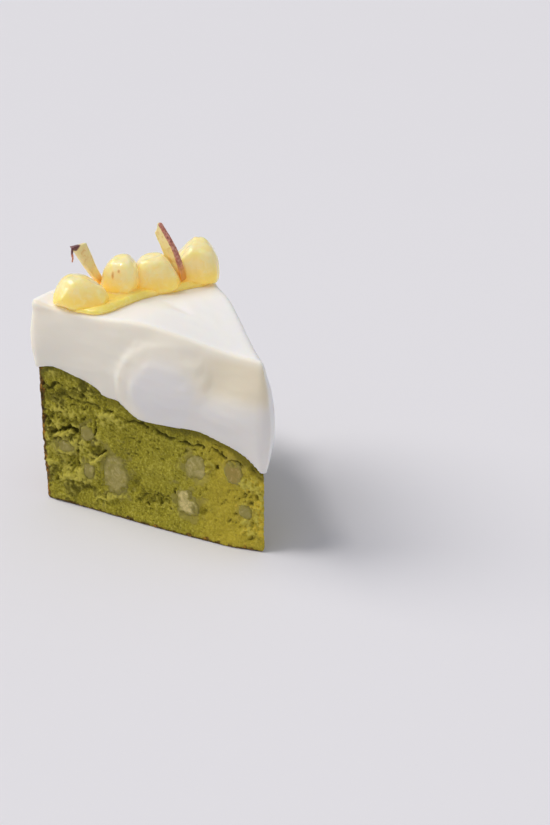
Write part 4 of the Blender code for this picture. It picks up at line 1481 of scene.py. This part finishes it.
@dataclass
class PeeledSlices:
    """The two thin slices of fruit that stand in the compote.

    Args:
        wedge: Frame of the wedge.
        finish: Their material's description.
        cell: Size of the skins' cells.
        peel_width: How far the peel reaches in from the edge.
        peel_height: How far it stands over the flesh.
        strand: Steps down the strand of peel that hangs loose.
        strand_radius: Its radius at the top, and what it loses at each step.
        strand_sides: Number of its sides.
        edges: Where the peel runs on each slice.
    """

    wedge: WedgeFrame
    finish: SliceFlesh
    cell: float = 0.26
    peel_width: float = 0.9
    peel_height: float = 0.08
    strand: tuple = ((0.0, 0.0, -0.4), (-0.3, -0.1, -2.2), (-0.1, -0.1, -4.0), (-0.4, 0.0, -5.4))
    strand_radius: tuple[float, float] = (0.42, 0.04)
    strand_sides: int = 6
    edges: tuple = (PeelEdge(1, (-12.4, 76.2), (-10.9, -0.9, 16.9), 190.0, 0.5, 0.9, 0.9),
                    PeelEdge(2, (14.2, 62.6), (-5.8, 5.2, 21.0), -78.0, 2.0, -1.0, 2.0))

    def build(self) -> None:
        """Make both slices and put them in place."""
        material = self.finish.material()
        for edge in self.edges:
            self.build_slice(edge, material)

    def build_slice(self, edge: PeelEdge, material: bpy.types.Material) -> None:
        """Make one slice.

        Args:
            edge: Where its peel runs.
            material: Its material.
        """
        node = f"peeled_slice_{edge.number}"
        solids = [self.wedge.nodes[node].data]
        low = self.wedge.to_wedge(np.array([v.co[:] for v in solids[0].vertices]))[:, 2].min()
        top = np.array((*edge.foot, low)) + edge.run
        if edge.cap < 1:
            solids.append(self.strand_from(top))
        skin = Skin.from_solids(f"fruit_slice_{edge.number}", self.wedge, solids, self.cell, 3)
        grain = Grain(Seed.SLICE + edge.number)
        way = np.array((math.cos(math.radians(edge.side)), math.sin(math.radians(edge.side)), 0.0))
        run = np.array(edge.run)
        offset = skin.points - np.array((*edge.foot, low))
        share = np.clip(offset @ run / (run @ run), 0.0, 1.0)
        spine = share[:, None] * run + (edge.bow * np.sin(math.pi * share))[:, None] * way
        inward = -((offset - spine) @ way)
        ragged = 0.25 * grain.layered(skin.points, 1.6, 2)
        rim = smooth((self.peel_width - inward + ragged) / 0.3) * smooth((share - edge.start) / 0.08)
        cap = smooth((share - edge.cap + 0.02 * ragged) / 0.03)
        # The loose strand lies outside the slice's edge, in the upper half of its run.
        stray = smooth((-inward - 0.35) / 0.3) * smooth((share - 0.5) / 0.1) if edge.cap < 1 else 0.0
        skin.masks["peel"] = np.maximum(np.maximum(rim, cap), stray)
        skin.masks["soaked"] = 0.8 * smooth((0.32 - share) / 0.3)
        skin.masks["dried"] = 0.9 * cap
        skin.masks["wet_peel"] = 0.85 * smooth((0.36 - share) / 0.25)
        skin.push(self.peel_height * skin.masks["peel"] + 0.06 * grain.layered(skin.points, 2.0, 3))
        skin.place(material, "peeled_slice", [node])

    def strand_from(self, top: np.ndarray) -> bpy.types.Mesh:
        """A thin strand of peel that hangs from the upper end of a peel edge.

        Args:
            top: That end in millimetres.

        Returns:
            Mesh of the strand.
        """
        sides = self.strand_sides
        first, loss = self.strand_radius
        verts = []
        for k, step in enumerate(self.strand):
            radius = first - loss * k
            for i in range(sides):
                turn = math.tau * i / sides
                verts.append(top + step + radius * np.array((math.cos(turn), math.sin(turn), 0.0)))
        faces = [tuple(reversed(range(sides))), tuple(range(len(verts) - sides, len(verts)))]
        for k in range(len(self.strand) - 1):
            for i in range(sides):
                j = (i + 1) % sides
                faces.append((k * sides + i, k * sides + j, (k + 1) * sides + j, (k + 1) * sides + i))
        mesh = bpy.data.meshes.new("peel_strand")
        mesh.from_pydata([tuple(v) for v in self.wedge.to_frame(verts)], [], [f[::-1] for f in faces])
        mesh.update()
        return mesh


@dataclass
class BakedInFruit:
    """The pieces of fruit that show in the cut faces.

    Args:
        wedge: Frame of the wedge.
        finish: Their material's description.
        cell: Size of the skins' cells.
        bright: Numbers of the palest pieces, with their paleness.
        plain_bright: Paleness of the others.
        syrupy: Numbers of the most syrupy pieces, with the share of that tone.
        swell: Height of the fruit over the cut.
        sink: How far its border sinks below the crumb.
        back_gap: How far its hidden sides draw in.
    """

    wedge: WedgeFrame
    finish: BakedFruit
    cell: float = 0.4
    bright: dict = field(default_factory=lambda: {1: 0.3, 4: 1.0, 5: 0.4, 9: 0.5, 12: 0.7})
    plain_bright: float = 0.08
    syrupy: dict = field(default_factory=lambda: {6: 0.7, 10: 0.4})
    swell: float = 0.3
    sink: float = 0.8
    back_gap: float = 0.1

    def build(self) -> None:
        """Make every piece and put it in place."""
        material = self.finish.material()
        names = sorted(name for name in self.wedge.nodes if name.startswith("baked_fruit_"))
        for name in names:
            self.build_piece(name, material)

    def build_piece(self, node: str, material: bpy.types.Material) -> None:
        """Make one piece.

        Args:
            node: Name of its solid.
            material: Its material.
        """
        number = int(node.rsplit("_", 1)[1])
        skin = Skin.from_solids(f"{node}_flesh", self.wedge, [self.wedge.nodes[node].data], self.cell, 3)
        middle = skin.points.mean(axis=0)
        face = Face.FRONT if middle[0] < 0 else Face.BACK
        along = skin.points @ face.along()
        height = skin.points[:, 2]
        half = (along.max() - along.min()) / 2, (height.max() - height.min()) / 2
        reach = np.hypot((along - (along.max() + along.min()) / 2) / half[0],
                         (height - (height.max() + height.min()) / 2) / half[1])
        grain = Grain(Seed.BAKED_FRUIT + number)
        on_cut = smooth((skin.normals @ face.out() - 0.5) / 0.3)
        ragged = grain.layered(skin.points, 4.0, 3)
        fine = grain.layered(skin.points + 5, 1.6, 2)
        border = smooth((reach - 0.84 + 0.6 * ragged + 0.25 * fine) / 0.5)
        swell = self.swell + 0.25 * ragged - self.sink * border
        skin.push(np.where(on_cut > 0.5, swell, -self.back_gap))
        skin.masks["border"] = 0.9 * smooth((reach - 0.45 + 0.6 * ragged + 0.3 * fine) / 0.55)
        skin.masks["bright"] = self.bright.get(number, self.plain_bright) * smooth((1.05 - reach) / 0.4)
        skin.masks["syrupy"] = self.syrupy.get(number, 0.0) * smooth((1.05 - reach) / 0.4)
        skin.place(material, "baked_fruit", [node])


@dataclass
class Studio:
    """The pale table, the soft lights and the camera.

    Args:
        wedge: Frame of the wedge.
        camera_from_tip: Place of the camera from the tip, in millimetres.
        camera_look: Way that it looks.
        lens: Focal length for a frame of that long side, in millimetres.
        sensor: Long side of the frame.
        table_size: Width of the table top in metres.
        table_drop: How far the table top lies below the base, in metres, so that they share no face.
        sky: Colour of the even light of the room.
        sky_strength: Its strength.
        key_from: Way from the slice to the wide key light.
        key_colour: Colour of both lights.
        key_strength: Strength of the key light.
        key_spread: Its spread in degrees.
        lamp_from: Way from the slice to the small lamp that gives the syrup its highlights.
        lamp_strength: Strength of the lamp.
        lamp_spread: Its spread in degrees.
    """

    wedge: WedgeFrame
    camera_from_tip: tuple[float, float, float] = (-277.40, -343.74, 258.94)
    camera_look: tuple[float, float, float] = (0.5746, 0.7008, -0.4226)
    lens: float = 65.1
    sensor: float = 36.0
    table_size: float = 4.0
    table_drop: float = 0.0002
    sky: str = "#f4f5fa"
    sky_strength: float = 0.46
    key_from: tuple[float, float, float] = (-0.40, 0.58, 0.71)
    key_colour: str = "#fffaf2"
    key_strength: float = 1.55
    key_spread: float = 38.0
    lamp_from: tuple[float, float, float] = (-0.34, 0.16, 0.93)
    lamp_strength: float = 0.6
    lamp_spread: float = 10.0

    def build(self) -> None:
        """Set the table, the lights and the camera."""
        self.set_table()
        self.set_lights()
        self.set_camera()

    def set_table(self) -> None:
        """Lay the table top."""
        half = self.table_size / 2
        mesh = bpy.data.meshes.new("table_top")
        corners = [(-half, -half, 0), (half, -half, 0), (half, half, 0), (-half, half, 0)]
        mesh.from_pydata(corners, [], [(0, 1, 2, 3)])
        mesh.materials.append(MattBoard().material())
        table = bpy.data.objects.new("table_top", mesh)
        table.location.z = -self.table_drop
        bpy.context.scene.collection.objects.link(table)

    def set_lights(self) -> None:
        """Hang the wide key light and the small lamp, and set the even light of the room."""
        for name, way, strength, spread in (("key", self.key_from, self.key_strength, self.key_spread),
                                            ("lamp", self.lamp_from, self.lamp_strength, self.lamp_spread)):
            sun = bpy.data.lights.new(name, "SUN")
            sun.energy = strength
            sun.angle = math.radians(spread)
            sun.color = linear(self.key_colour)
            light = bpy.data.objects.new(name, sun)
            light.rotation_euler = Vector(way).to_track_quat("Z", "Y").to_euler()
            bpy.context.scene.collection.objects.link(light)
        world = bpy.data.worlds.new("studio")
        world.use_nodes = True
        back = world.node_tree.nodes["Background"]
        back.inputs["Color"].default_value = (*linear(self.sky), 1.0)
        back.inputs["Strength"].default_value = self.sky_strength
        bpy.context.scene.world = world
        bpy.context.scene.view_settings.view_transform = "Standard"

    def set_camera(self) -> None:
        """Stand the camera in front of the cut face, looking down on the wedge."""
        data = bpy.data.cameras.new("camera")
        data.lens = self.lens
        data.sensor_width = self.sensor
        camera = bpy.data.objects.new("camera", data)
        camera.location = self.wedge.to_frame(self.camera_from_tip)
        camera.rotation_euler = Vector(self.camera_look).to_track_quat("-Z", "Y").to_euler()
        bpy.context.scene.collection.objects.link(camera)
        bpy.context.scene.camera = camera


def main() -> None:
    """Load the frame, dress every solid and set the studio."""
    logging.basicConfig(level=logging.INFO, format="%(name)s %(message)s")
    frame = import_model()
    wedge = WedgeFrame.measure(frame["nodes"])
    LOG.info("tip at %s mm", np.round(wedge.tip / MM, 2))
    BakedBody(wedge, GreenCheesecake()).build()
    BakedInFruit(wedge, BakedFruit()).build()
    CreamCap(wedge, WhippedCream()).build()
    Compote(wedge, CookedFruit()).build()
    PeeledSlices(wedge, SliceFlesh()).build()
    Studio(wedge).build()


if __name__ == "__main__":
    main()
